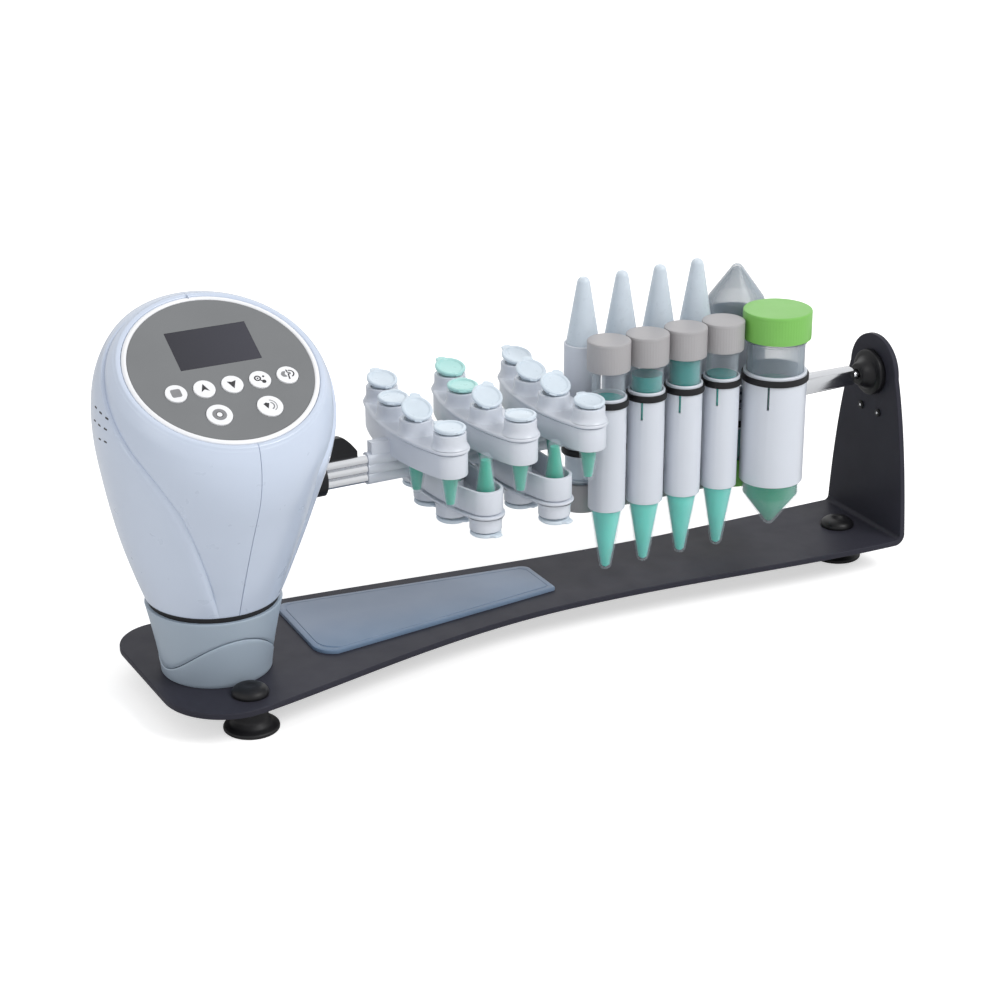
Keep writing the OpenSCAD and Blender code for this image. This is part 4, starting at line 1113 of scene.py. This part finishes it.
# What is printed on each button: a shape, its layer, its ink and its sizes in mm
SYMBOLS = {
    "stop": [(patch, 0, 2, *soften(
        [(-2.3, -2.3), (2.3, -2.3), (2.3, 2.3), (-2.3, 2.3)], 1.1, 4, True))],
    "up": [(patch, 0, 1, (0, 2.8), (-1.9, -1.7), (0, -0.5), (1.9, -1.7))],
    "down": [(patch, 0, 1, (0, -2.7), (2.1, 1.8), (0, 1.2), (-2.1, 1.8))],
    "mode": [
        (band, 0, 1, -1.0, 0.7, 1.6, 0.9, 0, 360), (disc, 0, 1, -1.0, 0.7, 0.45),
        (disc, 0, 1, 1.9, 1.3, 0.55), (disc, 0, 1, 1.3, -1.6, 1.0, 14),
        (patch, 1, 1, (0.0, -0.2), (0.9, -1.1), (0.5, -1.5), (-0.4, -0.6))],
    "timer": [
        (band, 0, 2, -1.2, 0.5, 1.7, 0.0, 60, 300), (band, 0, 1, 1.2, 0.4, 2.1, 1.5, -80, 100),
        (disc, 0, 2, 1.0, 0.6, 0.8),
        (patch, 1, 1, (-0.3, -2.7), (0.4, -2.7), (0.7, 0.2), (0.1, 0.2)),
        (patch, 1, 1, (0.5, 2.9), (-0.2, 2.8), (0.1, 1.0), (0.6, 1.0))],
    "power": [
        (band, 0, 2, 0, 0, 3.2, 1.25, 0, 360, 36), (band, 1, 1, 0, 0, 1.6, 1.25, 0, 360)],
    "run": [
        (patch, 0, 1, (-2.7, 1.4), (-1.4, 2.1), (0.1, 1.4), (-1.3, -1.5)),
        (band, 0, 2, -0.3, 0, 2.4, 1.8, -70, 60, 14), (band, 0, 2, -0.3, 0, 3.5, 3.1, -60, 75, 16)],
}
# A row of five small buttons, and two large ones below it
KEY_TOP = 0.7
KEY_MIDDLE = 1.2
SMALL_KEY_R = 4.9
SMALL_KEY_Y = -10.2
SMALL_KEY_PITCH = 13.0
LARGE_KEY_R = 5.8
LARGE_KEY_Y = -25.7
LARGE_KEY_ASIDE = 11.75
# Each button's place on the panel and its radius
KEYS = {
    name: (KEY_MIDDLE + SMALL_KEY_PITCH * k, SMALL_KEY_Y, SMALL_KEY_R)
    for k, name in enumerate(("stop", "up", "down", "mode", "timer"), -2)}
KEYS["power"] = (KEY_MIDDLE - LARGE_KEY_ASIDE, LARGE_KEY_Y, LARGE_KEY_R)
KEYS["run"] = (KEY_MIDDLE + LARGE_KEY_ASIDE, LARGE_KEY_Y, LARGE_KEY_R)


class ROTATOR_OT_buttons(bpy.types.Operator):
    """Turn the seven buttons and print their plain symbols"""
    bl_idname = "rotator.buttons"
    bl_label = "Buttons"

    def execute(self, context):
        place = on_panel(context.scene)
        for name, (x, y, radius) in KEYS.items():
            bm = bmesh.new()
            turned(bm, soften([
                (0, -3.5), (1.6, -3.5), (1.6, -2.3), (radius + 0.8, -2.3), (radius + 0.8, -1.4),
                (radius, -1.4), (radius, KEY_TOP), (radius - 0.7, KEY_TOP), (0, KEY_TOP)],
                0.28), steps=48)
            for shape, layer, ink, *sizes in SYMBOLS[name]:
                shape(bm, KEY_TOP + 0.02 + 0.01 * layer, ink, *sizes)
            make_piece(
                f"key_{name}", bm, ["ring", "ink", "grey_ink"], f"key_{name}",
                [f"button_{name}"], place @ shift(x, y))
        return {"FINISHED"}


# Rotor

LOBE_R = 2.4
LOBE_PITCH = 4.5
FERRULE_PIN = 12.0


def lobed_outline(radius, web):
    """Three lobes joined by a web, counter-clockwise, with the lobes along x."""
    most = math.degrees(min(math.acos(web / radius), math.asin(LOBE_PITCH / 2 / radius)))
    points = []
    spans = [(1, -90, most), (0, -most, most), (-1, -most, 90)]
    for i, start, end in spans:
        lobe = arc((0, -i * LOBE_PITCH), radius, start, end, 12)
        points += [Vector((-p.y, p.x)) for p in lobe]
    points += [Vector((-p.x, -p.y)) for p in points]
    clean = [points[0]]
    for p in points[1:]:
        if (p - clean[-1]).length > 0.02:
            clean.append(p)
    if (clean[0] - clean[-1]).length < 0.02:
        clean.pop()
    area = sum(a.x * b.y - b.x * a.y for a, b in zip(clean, clean[1:] + clean[:1]))
    return clean if area > 0 else clean[::-1]


class ROTATOR_OT_bar(bpy.types.Operator):
    """Draw the three-lobed bar, its hub and the flat ferrule with its pin"""
    bl_idname = "rotator.bar"
    bl_label = "Rotor bar"

    def execute(self, context):
        bm = bmesh.new()
        stacked(
            bm, lobed_outline(LOBE_R, 0.5), slab_levels(BAR_START, BAR_END, 0.3),
            on_rotor() @ along_x())
        make_piece("lobed_bar", bm, ["chrome"], "rotor", ["rotor_bar"], sharp=50)

        end = mm_box("bar_ferrule")[1].x - FERRULE_PIN
        outline = soften([
            (BAR_END, -5.5), (end - 1, -4.75), (end, -3.75), (end, 3.75), (end - 1, 4.75),
            (BAR_END, 5.5)], 0.8, 4, True)
        bm = bmesh.new()
        stacked(bm, outline, slab_levels(-3, 3, 1.1), on_rotor() @ rotation(90))
        pin = soften([(0, 0), (2, 0), (2, 12.4), (1.6, 13), (0, 13)], 0.4)
        turned(bm, pin, on_rotor() @ along_x(end - 1), steps=40)
        make_piece("flat_ferrule", bm, ["chrome"], "rotor", ["bar_ferrule"])
        dress_all({
            "drive_hub": "black", "output_shaft": "steel", "drive_gear": "acetal",
            "motor_pinion": "steel"})
        return {"FINISHED"}


RACK_SPAN = 36.0
RACK_BOW = 5.5
SKIRT_R = 8.3
SKIRT_WALL = 1.6
SKIRT_LOW = 5.0
SKIRT_TOP = 16.5
LID_TOP = 19.0
COLLAR_TOP = 25.8
COLLAR_R = 7.7
BORE_R = 5.5
SMALL_TUBE_LEN = 37.3
TUBE_PLACES = [
    (0, -RACK_SPAN), (-RACK_BOW, -RACK_SPAN / 3), (-RACK_BOW, RACK_SPAN / 3), (0, RACK_SPAN)]
# How far each upper lid stands ajar, in degrees, rack by rack from the front
AJAR = [(0, 30, 3, 14), (0, 26, 3, 14), (4, 28, 22, 14)]


def rack_outline(radius):
    """A rack seen from above: straight on one side and bowed on the other."""
    bow = RACK_BOW + 0.7
    bow_r = (RACK_SPAN ** 2 + bow ** 2) / (2 * bow)
    bow_angle = math.degrees(math.asin(RACK_SPAN / bow_r))
    points = arc((0, RACK_SPAN), radius, 0, 180 - bow_angle, 18)
    points += arc(
        (bow_r - bow, 0), bow_r + radius, 180 - bow_angle + 2, 180 + bow_angle - 2, 24)
    points += arc((0, -RACK_SPAN), radius, 180 + bow_angle, 360, 18)
    return points


def rack_mesh():
    """A rack with its hollow skirt below, a shadow groove, a lipped lid and four collars."""
    bm = bmesh.new()
    stacked(bm, rack_outline(SKIRT_R), [
        (SKIRT_WALL, SKIRT_TOP - 1), (SKIRT_WALL, SKIRT_LOW + 0.3),
        (SKIRT_WALL - 0.3, SKIRT_LOW), (0.4, SKIRT_LOW), (0.1, SKIRT_LOW + 0.2),
        (0, SKIRT_LOW + 0.6), (0, SKIRT_TOP - 0.5), (0.15, SKIRT_TOP - 0.15),
        (0.9, SKIRT_TOP), (1.5, SKIRT_TOP + 0.1), (1.5, SKIRT_TOP + 0.6),
        (-0.5, SKIRT_TOP + 0.6), (-0.9, SKIRT_TOP + 0.75), (-1, SKIRT_TOP + 1.1),
        (-0.95, LID_TOP - 0.8), (-0.6, LID_TOP - 0.4), (0.2, LID_TOP - 0.1), (1.2, LID_TOP)])
    collar = [(8.9, LID_TOP - 0.1)]
    collar += bezier(
        (8.9, LID_TOP - 0.1), (8.5, LID_TOP + 0.3), (COLLAR_R, LID_TOP + 1.6),
        (COLLAR_R, LID_TOP + 3.6), 8)
    collar += soften([
        (COLLAR_R, LID_TOP + 3.7), (COLLAR_R, COLLAR_TOP), (BORE_R + 0.2, COLLAR_TOP),
        (BORE_R + 0.2, SKIRT_LOW + 3)], 0.6, 4)
    for x, y in TUBE_PLACES:
        turned(bm, collar, shift(x, y), steps=48)
    return bm


def small_tube(bm, place, lid_material, upside_down, seed, ajar=0.0):
    """A small tube, its sample and its hinged lid, which may stand ajar by some degrees.

    Materials: 0 tube, 1 sample, 2 and 3 lids.
    """
    top, tip = COLLAR_TOP, COLLAR_TOP - SMALL_TUBE_LEN
    wall = [(0, tip), (1.9, tip + 0.1), (2.8, tip + 1.2), (5.0, tip + 18), (5.4, tip + 20)]
    wall += [(5.4, top), (6.6, top + 0.05), (6.6, top + 0.6), (4.6, top + 0.6)]
    wall += [(4.5, tip + 18), (2.1, tip + 1.6), (0, tip + 0.8)]
    turned(bm, wall, place, steps=40, material=0)
    fill = [(0, tip + 0.9), (2.0, tip + 1.7), (3.95, tip + 15), (0, tip + 15)]
    if upside_down:
        fill = [(0, tip + 3), (2.2, tip + 3), (4.35, tip + 18), (4.4, top - 1), (0, top - 1)]
    turned(bm, fill, place, steps=32, material=1)
    lid = soften([
        (0, top - 3), (4.4, top - 3), (4.5, top + 0.7), (7.3, top + 0.7), (7.6, top + 2.1),
        (7.0, top + 2.6), (6.2, top + 2.6), (5.6, top + 1.9), (0, top + 1.7)], 0.4)
    hinge = shift(0, -6.5, top + 0.7)
    lean = hinge @ rotation(ajar + 1.5 * (1 + math.sin(seed * 2.3))) @ hinge.inverted()
    turned(bm, lid, place @ lean, steps=40, material=lid_material)
    turn = rotation(78 + 24 * math.sin(seed * 1.7), "Z")
    tab = [(6.6, -3.4), (9.4, -2.2), (9.9, 0), (9.4, 2.2), (6.6, 3.4)]
    thumb = [(-8.0, -1.6), (-6.2, -2.4), (-6.2, 2.4), (-8.0, 1.6)]
    for outline, low in ((tab, 0.9), (thumb, 1.1)):
        levels = slab_levels(top + low, top + 1.9, 0.25)
        stacked(bm, outline, levels, place @ lean @ turn, lid_material)


class ROTATOR_OT_racks(bpy.types.Operator):
    """Clip the racks to the bar and hang the small tubes in them"""
    bl_idname = "rotator.racks"
    bl_label = "Racks and small tubes"

    def execute(self, context):
        for spot, node, places, turn in (
                ("above", "upper_rack", RACK_X, 0), ("below", "lower_rack", LOWER_X, 180)):
            for i, x in enumerate(places, 1):
                make_piece(
                    f"rack_{spot}_{i}", rack_mesh(), ["holder"], "rotor",
                    [f"{node}_{i}"], on_rotor(x, turn))
        bm = bmesh.new()
        seed = 0
        for i, x in enumerate(RACK_X):
            for k, (dx, dy) in enumerate(TUBE_PLACES):
                seed += 1
                material = 3 if i == 1 and k >= 2 else 2
                small_tube(bm, on_rotor(x) @ shift(dx, dy), material, False, seed, AJAR[i][k])
        for x in LOWER_X:
            for dx, dy in TUBE_PLACES:
                seed += 1
                small_tube(bm, on_rotor(x, 180) @ shift(dx, -dy), 2, True, seed)
        make_piece(
            "sample_tubes", bm, ["tube", "small_sample", "lid", "aqua"], "rotor",
            ["small_tubes"])
        dress_all({"rack_clips": "holder"})
        return {"FINISHED"}


SLEEVE_TOP = 19.5
SLEEVE_LOW = -39.0
RIM_H = 2.2
SLITS = (-135.0, -45.0)
THIN_SLEEVE = {"offset": 12.6, "tube_r": 8.2, "wall": 0.9, "slit_len": 14.0}
THICK_SLEEVE = {"offset": 18.6, "tube_r": 14.5, "wall": 1.4, "slit_len": 17.0}
BORE_GAP = 0.1
TUBE_WALL = 0.7
# From these heights inside the sleeves upwards, the thick tube's wall is greyer and the thin tubes'
# samples darker: painted shade of the sleeves and caps
WALL_SHADE_FROM = -20.0
SAMPLE_SHADE_FROM = SLEEVE_TOP - 4
THIN = {"r": 8.2, "tip": 72.3, "cone": 33.0, "tip_r": 3.0, "top": 33.0}
THICK = {"r": 14.5, "tip": 64.1, "cone": 17.6, "tip_r": 3.0, "top": 36.5}
THIN_CAP = {"r": 10.7, "h": 14.7, "top": 47.7, "ribs": 48}
THICK_CAP = {"r": 17.2, "h": 14.4, "top": 50.9, "ribs": 72}


def sleeve(bm, bore, wall, slit, slit_len, place):
    """A sleeve with a rounded mouth and narrow slits below its rim."""
    half = math.degrees(slit / 2 / bore)
    marks = []
    for g in SLITS:
        marks += [(g % 360) - half, (g % 360) + half]
    angles = sorted(set([360 * k / 72 for k in range(72)] + marks))
    angles = [a for a in angles if not any(
        a not in marks and abs(a - m) < half * 2.2 for m in marks)]
    count = len(angles)

    def in_slit(k):
        centre = (angles[k] + ((angles[(k + 1) % count] - angles[k]) % 360) / 2) % 360
        return any(abs(centre - (g % 360)) < half for g in SLITS)

    def ring(radius, height):
        return [bm.verts.new(place @ Vector((
            radius * math.cos(math.radians(a)), radius * math.sin(math.radians(a)), height)))
            for a in angles]

    outer_r = bore + wall
    slit_z, rim_z = SLEEVE_TOP - slit_len, SLEEVE_TOP - RIM_H
    outside = [
        ring(outer_r - 0.25, SLEEVE_LOW), ring(outer_r, SLEEVE_LOW + 0.3), ring(outer_r, slit_z),
        ring(outer_r, rim_z), ring(outer_r, SLEEVE_TOP - 0.3), ring(outer_r - 0.25, SLEEVE_TOP)]
    inside = [
        ring(bore, SLEEVE_LOW), ring(bore, slit_z), ring(bore, rim_z), ring(bore, SLEEVE_TOP)]
    for k in range(count):
        j = (k + 1) % count
        add_face(bm, (inside[0][j], inside[0][k], outside[0][k], outside[0][j]))
        for a, b in ((0, 1), (1, 2), (3, 4), (4, 5)):
            add_face(bm, (outside[a][k], outside[b][k], outside[b][j], outside[a][j]))
        for a, b in ((0, 1), (2, 3)):
            add_face(bm, (inside[a][k], inside[a][j], inside[b][j], inside[b][k]))
        add_face(bm, (outside[5][k], inside[3][k], inside[3][j], outside[5][j]))
        if in_slit(k):
            add_face(bm, (inside[1][k], inside[1][j], outside[2][j], outside[2][k]))
            add_face(bm, (inside[2][k], inside[2][j], outside[3][j], outside[3][k]))
            for m in (k, j):
                add_face(bm, (inside[1][m], outside[2][m], outside[3][m], inside[2][m]))
            continue
        add_face(bm, (outside[2][k], outside[3][k], outside[3][j], outside[2][j]))
        add_face(bm, (inside[1][k], inside[1][j], inside[2][j], inside[2][k]))


def holder_mesh(slit, offset, tube_r, wall, slit_len):
    """Two sleeves with the block between them that clips on the bar."""
    bm = bmesh.new()
    for turn in (0, 180):
        place = rotation(turn) @ shift(0, -offset)
        sleeve(bm, tube_r + BORE_GAP, wall, slit, slit_len, place)
    inner = offset - tube_r - 0.6
    outline = soften([(6, -inner), (6, inner), (-6, inner), (-6, -inner)], 1, 3, True)
    stacked(bm, outline, slab_levels(-9, 9, 0.8))
    return bm


class ROTATOR_OT_holders(bpy.types.Operator):
    """Clip the sleeves for conical tubes to the bar, with their black bands"""
    bl_idname = "rotator.holders"
    bl_label = "Holders and bands"

    def execute(self, context):
        slit = context.scene.rotator_load.slit_width
        for i, x in enumerate(THIN_X, 1):
            make_piece(
                f"thin_sleeves_{i}", holder_mesh(slit, **THIN_SLEEVE), ["holder"], "rotor",
                [f"thin_holder_{i}"], on_rotor(x))
        make_piece(
            "thick_sleeves", holder_mesh(slit, **THICK_SLEEVE), ["holder"], "rotor",
            ["thick_holder"], on_rotor(THICK_X))
        bm = bmesh.new()
        half = 1.7
        for x, size in [(x, THIN_SLEEVE) for x in THIN_X] + [(THICK_X, THICK_SLEEVE)]:
            r = size["tube_r"] + BORE_GAP + size["wall"]
            profile = soften([
                (r + 0.02, -half), (r + 0.9, -half), (r + 0.9, half), (r + 0.02, half)],
                0.6, 4, True)
            for turn in (0, 180):
                place = on_rotor(x, turn) @ shift(0, -size["offset"], SLEEVE_TOP - 3)
                turned(bm, profile, place, steps=72, closed=True)
        make_piece("rubber_bands", bm, ["rubber"], "rotor", ["retaining_bands"])
        return {"FINISHED"}


def conical_wall(r, tip, cone, tip_r, top):
    """Profile of a tube's wall: outside from its tip to its mouth, then the inside back down."""
    outside = soften([
        (0, -tip), (tip_r - 1.2, -tip + 0.1), (tip_r, -tip + 1.6), (r, -tip + cone),
        (r, top + 12)], 1.2, 4)
    ring = [(r, top - 2.4), (r + 1, top - 1.8), (r + 1, top - 1.2), (r, top - 1.1)]
    return outside[:-1] + [(r, WALL_SHADE_FROM)] + ring + [
        (r, top + 12), (r - TUBE_WALL, top + 12), (r - TUBE_WALL, WALL_SHADE_FROM),
        (r - TUBE_WALL, -tip + cone + 0.2), (tip_r - TUBE_WALL, -tip + 2.2), (0, -tip + 1.1)]


def sample_fill(r, tip, cone, tip_r, low, high):
    """Profile of the sample between two heights of a tube."""
    def inside(height):
        if height >= -tip + cone + 0.2:
            return r - TUBE_WALL - 0.05
        share = (height + tip - 2.45) / (cone - 2.25)
        return max(0.3, tip_r - TUBE_WALL - 0.05 + (r - tip_r) * share)

    low = max(low, -tip + 1.4)
    heights = [low, low + 1.05, -tip + cone + 0.2, SAMPLE_SHADE_FROM, high]
    heights = sorted(h for h in set(heights) if low <= h <= high)
    return [(0, low)] + [(inside(h) if h > low else inside(h) * 0.6, h) for h in heights] + [
        (inside(high) * 0.9, high - 0.3), (0, high - 0.35)]


def cap_profile(r, h, top):
    """A screw cap with a flat top: its fine ribs run down its side and stop short of both edges."""
    low = top - h
    return [
        (r - 1.6, low + 1), (r - 1.6, low), (r - 0.35, low), (r - 0.06, low + 0.15),
        (r - 0.06, low + 0.8), (r - 0.06, low + 1.0, True), (r - 0.06, top - 2.2, True),
        (r - 0.06, top - 1.8), (r, top - 1.5), (r, top - 0.7), (r - 0.2, top - 0.2),
        (r - 0.6, top), (r - 1.2, top), (0, top)]


def conical_tube(bm, shape, fill_from, fill_to, place, wall=0, neck=1):
    """A conical tube and its sample, which is material 1 up to its neck and the neck material
    above, a darker copy where the neck's shade is painted.
    """
    turned(bm, conical_wall(**shape), place, steps=64, material=wall)
    r, tip, cone, tip_r = shape["r"], shape["tip"], shape["cone"], shape["tip_r"]
    fill = sample_fill(r, tip, cone, tip_r, fill_from, fill_to)
    inner = [p for p in fill if p[1] <= SAMPLE_SHADE_FROM]
    turned(bm, inner, place, steps=48, material=1)
    if len(inner) < len(fill):
        turned(bm, fill[len(inner) - 1:], place, steps=48, material=neck)


def screw_cap(bm, cap, place=Matrix(), material=0):
    """A cap whose ribs run round it."""
    profile, ribs = cap_profile(cap["r"], cap["h"], cap["top"]), cap["ribs"]
    turned(bm, profile, place, steps=ribs * 5, material=material, ribs=ribs, rib=0.06)


class ROTATOR_OT_conical_tubes(bpy.types.Operator):
    """Put the conical tubes with their samples and caps into the sleeves"""
    bl_idname = "rotator.conical_tubes"
    bl_label = "Conical tubes"

    def execute(self, context):
        for i, (x, level) in enumerate(zip(THIN_X, (18, 27, 32, 20)), 1):
            body = f"thin_sample_{i}"
            place = on_rotor(x) @ shift(0, -THIN_SLEEVE["offset"])
            bm = bmesh.new()
            conical_tube(bm, THIN, -THIN["tip"], level, Matrix(), neck=2)
            make_piece(
                f"thin_conical_{i}", bm, ["tube", "sample", "shaded_sample"], body,
                [f"thin_tube_{i}"], place)
            bm = bmesh.new()
            screw_cap(bm, THIN_CAP)
            make_piece(
                f"grey_cap_{i}", bm, ["thin_cap"], body, [f"thin_cap_{i}"], place)
        place = on_rotor(THICK_X) @ shift(0, -THICK_SLEEVE["offset"])
        bm = bmesh.new()
        conical_tube(bm, THICK, -THICK["tip"], 12, Matrix())
        # Wall faces above the ring at WALL_SHADE_FROM take the greyed wall: painted shade
        for face in bm.faces:
            if face.material_index == 0 and face.calc_center_median().z > 0:
                face.material_index = 2
        make_piece(
            "thick_conical", bm, ["tube", "deep_sample", "thick_wall"], "thick_sample",
            ["thick_tube"], place)
        bm = bmesh.new()
        screw_cap(bm, THICK_CAP)
        make_piece(
            "green_cap", bm, ["thick_cap"], "thick_sample", ["thick_cap"], place)
        tubes, caps = bmesh.new(), bmesh.new()
        rear = [(x, THIN_SLEEVE, THIN, THIN_CAP, 0) for x in THIN_X]
        rear.append((THICK_X, THICK_SLEEVE, THICK, THICK_CAP, 1))
        for x, size, shape, cap, thick in rear:
            place = on_rotor(x, 180) @ shift(0, -size["offset"])
            conical_tube(tubes, shape, -15, 44, place, 2 * thick)
            screw_cap(caps, cap, place, thick)
        make_piece(
            "rear_conicals", tubes, ["milky", "sample", "thick_wall"], "rotor",
            ["rear_tubes"])
        make_piece(
            "rear_screw_caps", caps, ["thin_cap", "thick_cap"], "rotor",
            ["rear_caps"])
        return {"FINISHED"}


# Stage

# Each lamp's place, its width and its share of the key light's power
LAMPS = {
    "key": ((0.55, -0.9, 1.1), 0.7, 1.0),
    "fill": ((-1.3, -0.5, 0.7), 0.9, 0.15),
    "rim": ((0.5, 1.0, 0.9), 0.8, 0.15),
}
LAMP_TARGET = (0, 0, 0.1)
FLOOR_REACH = 6.0
FLOOR_GLOW = 0.55
WHITE = (1, 1, 1, 1)


def make_floor(scene):
    """Lays a white floor that glows a little for the camera alone."""
    mesh = bpy.data.meshes.new("floor")
    far = FLOOR_REACH
    mesh.from_pydata(
        [(-far, -far, 0), (far, -far, 0), (far, far, 0), (-far, far, 0)], [], [(0, 1, 2, 3)])
    floor = bpy.data.objects.new("floor", mesh)
    scene.collection.objects.link(floor)
    material, tree, output = new_material("white_paper_floor")
    rays = add_node(tree, "ShaderNodeLightPath").outputs
    glow = add_node(
        tree, "ShaderNodeMath", {"operation": "MULTIPLY", 1: FLOOR_GLOW},
        {0: rays["Is Camera Ray"]})
    paper = add_node(tree, "ShaderNodeBsdfDiffuse", {"Color": (0.8, 0.8, 0.8, 1)})
    lift = add_node(tree, "ShaderNodeEmission", {"Color": WHITE}, {"Strength": glow.outputs[0]})
    both = add_node(tree, "ShaderNodeAddShader", None, {0: paper.outputs[0], 1: lift.outputs[0]})
    tree.links.new(both.outputs[0], output.inputs["Surface"])
    mesh.materials.append(material)


def larger(tree, first, second):
    """The larger of two nodes' outputs."""
    return add_node(
        tree, "ShaderNodeMath", {"operation": "MAXIMUM"}, {0: first, 1: second}).outputs[0]


def make_world(scene, sky):
    """Lights from all round, and looks plain white where it is seen or reflected."""
    world = bpy.data.worlds.new("studio")
    scene.world = world
    world.use_nodes = True
    tree = world.node_tree
    tree.nodes.clear()
    rays = add_node(tree, "ShaderNodeLightPath").outputs
    seen = larger(tree, rays["Is Camera Ray"], rays["Is Transmission Ray"])
    shown = larger(tree, seen, rays["Is Glossy Ray"])
    strength = add_node(
        tree, "ShaderNodeMapRange", {"To Min": sky, "To Max": 1.0}, {"Value": shown})
    background = add_node(
        tree, "ShaderNodeBackground", {"Color": WHITE}, {"Strength": strength.outputs["Result"]})
    output = add_node(tree, "ShaderNodeOutputWorld")
    tree.links.new(background.outputs[0], output.inputs["Surface"])


def aimed(scene, name, data, place, target):
    """Adds a lamp or a camera that looks from its place at a target."""
    thing = bpy.data.objects.new(name, data)
    thing.location = place
    way = Vector(target) - Vector(place)
    thing.rotation_euler = way.to_track_quat("-Z", "Y").to_euler()
    scene.collection.objects.link(thing)
    return thing


class ROTATOR_OT_stage(bpy.types.Operator):
    """Lay a white floor, light it softly and set up the camera"""
    bl_idname = "rotator.stage"
    bl_label = "Stage"

    def execute(self, context):
        scene = context.scene
        settings = scene.rotator_stage
        scene.view_settings.view_transform = "Standard"
        make_floor(scene)
        make_world(scene, settings.sky)
        for name, (place, size, share) in LAMPS.items():
            lamp = bpy.data.lights.new(name, "AREA")
            lamp.shape = "DISK"
            lamp.size = size
            lamp.energy = settings.key_power * share
            aimed(scene, name, lamp, place, LAMP_TARGET)
        camera = bpy.data.cameras.new("camera")
        camera.lens = settings.lens
        camera.sensor_width = 36
        scene.camera = aimed(
            scene, "camera", camera, settings.camera_place, settings.camera_aim)
        return {"FINISHED"}


STEPS = (
    ROTATOR_OT_base_plate, ROTATOR_OT_base_pad, ROTATOR_OT_feet, ROTATOR_OT_pedestal,
    ROTATOR_OT_end_boss, ROTATOR_OT_head_shells, ROTATOR_OT_control_panel,
    ROTATOR_OT_buttons, ROTATOR_OT_bar, ROTATOR_OT_racks, ROTATOR_OT_holders,
    ROTATOR_OT_conical_tubes, ROTATOR_OT_stage,
)


class ROTATOR_PT_panel(bpy.types.Panel):
    """Lists the rotator's pieces and settings"""
    bl_label = "Tube rotator"
    bl_idname = "ROTATOR_PT_panel"
    bl_space_type = "VIEW_3D"
    bl_region_type = "UI"
    bl_category = "Rotator"

    def draw(self, context):
        layout = self.layout
        for step in STEPS:
            layout.operator(step.bl_idname)
        for group in ("rotator_stand", "rotator_head", "rotator_load", "rotator_stage"):
            settings = getattr(context.scene, group)
            box = layout.box()
            for key in settings.__annotations__:
                box.prop(settings, key)


SETTINGS = (
    ("rotator_stand", RotatorStandSettings), ("rotator_head", RotatorHeadSettings),
    ("rotator_load", RotatorLoadSettings), ("rotator_stage", RotatorStageSettings),
)


def register():
    for name, group in SETTINGS:
        bpy.utils.register_class(group)
        setattr(bpy.types.Scene, name, PointerProperty(type=group))
    for step in STEPS + (ROTATOR_PT_panel,):
        bpy.utils.register_class(step)


def unregister():
    for step in reversed(STEPS + (ROTATOR_PT_panel,)):
        bpy.utils.unregister_class(step)
    for name, group in reversed(SETTINGS):
        delattr(bpy.types.Scene, name)
        bpy.utils.unregister_class(group)


def main():
    register()
    make_materials(bpy.context.scene)
    bpy.ops.rotator.base_plate()
    bpy.ops.rotator.base_pad()
    bpy.ops.rotator.feet()
    bpy.ops.rotator.pedestal()
    bpy.ops.rotator.end_boss()
    bpy.ops.rotator.head_shells()
    bpy.ops.rotator.control_panel()
    bpy.ops.rotator.buttons()
    bpy.ops.rotator.bar()
    bpy.ops.rotator.racks()
    bpy.ops.rotator.holders()
    bpy.ops.rotator.conical_tubes()
    bpy.ops.rotator.stage()


if __name__ == "__main__":
    main()
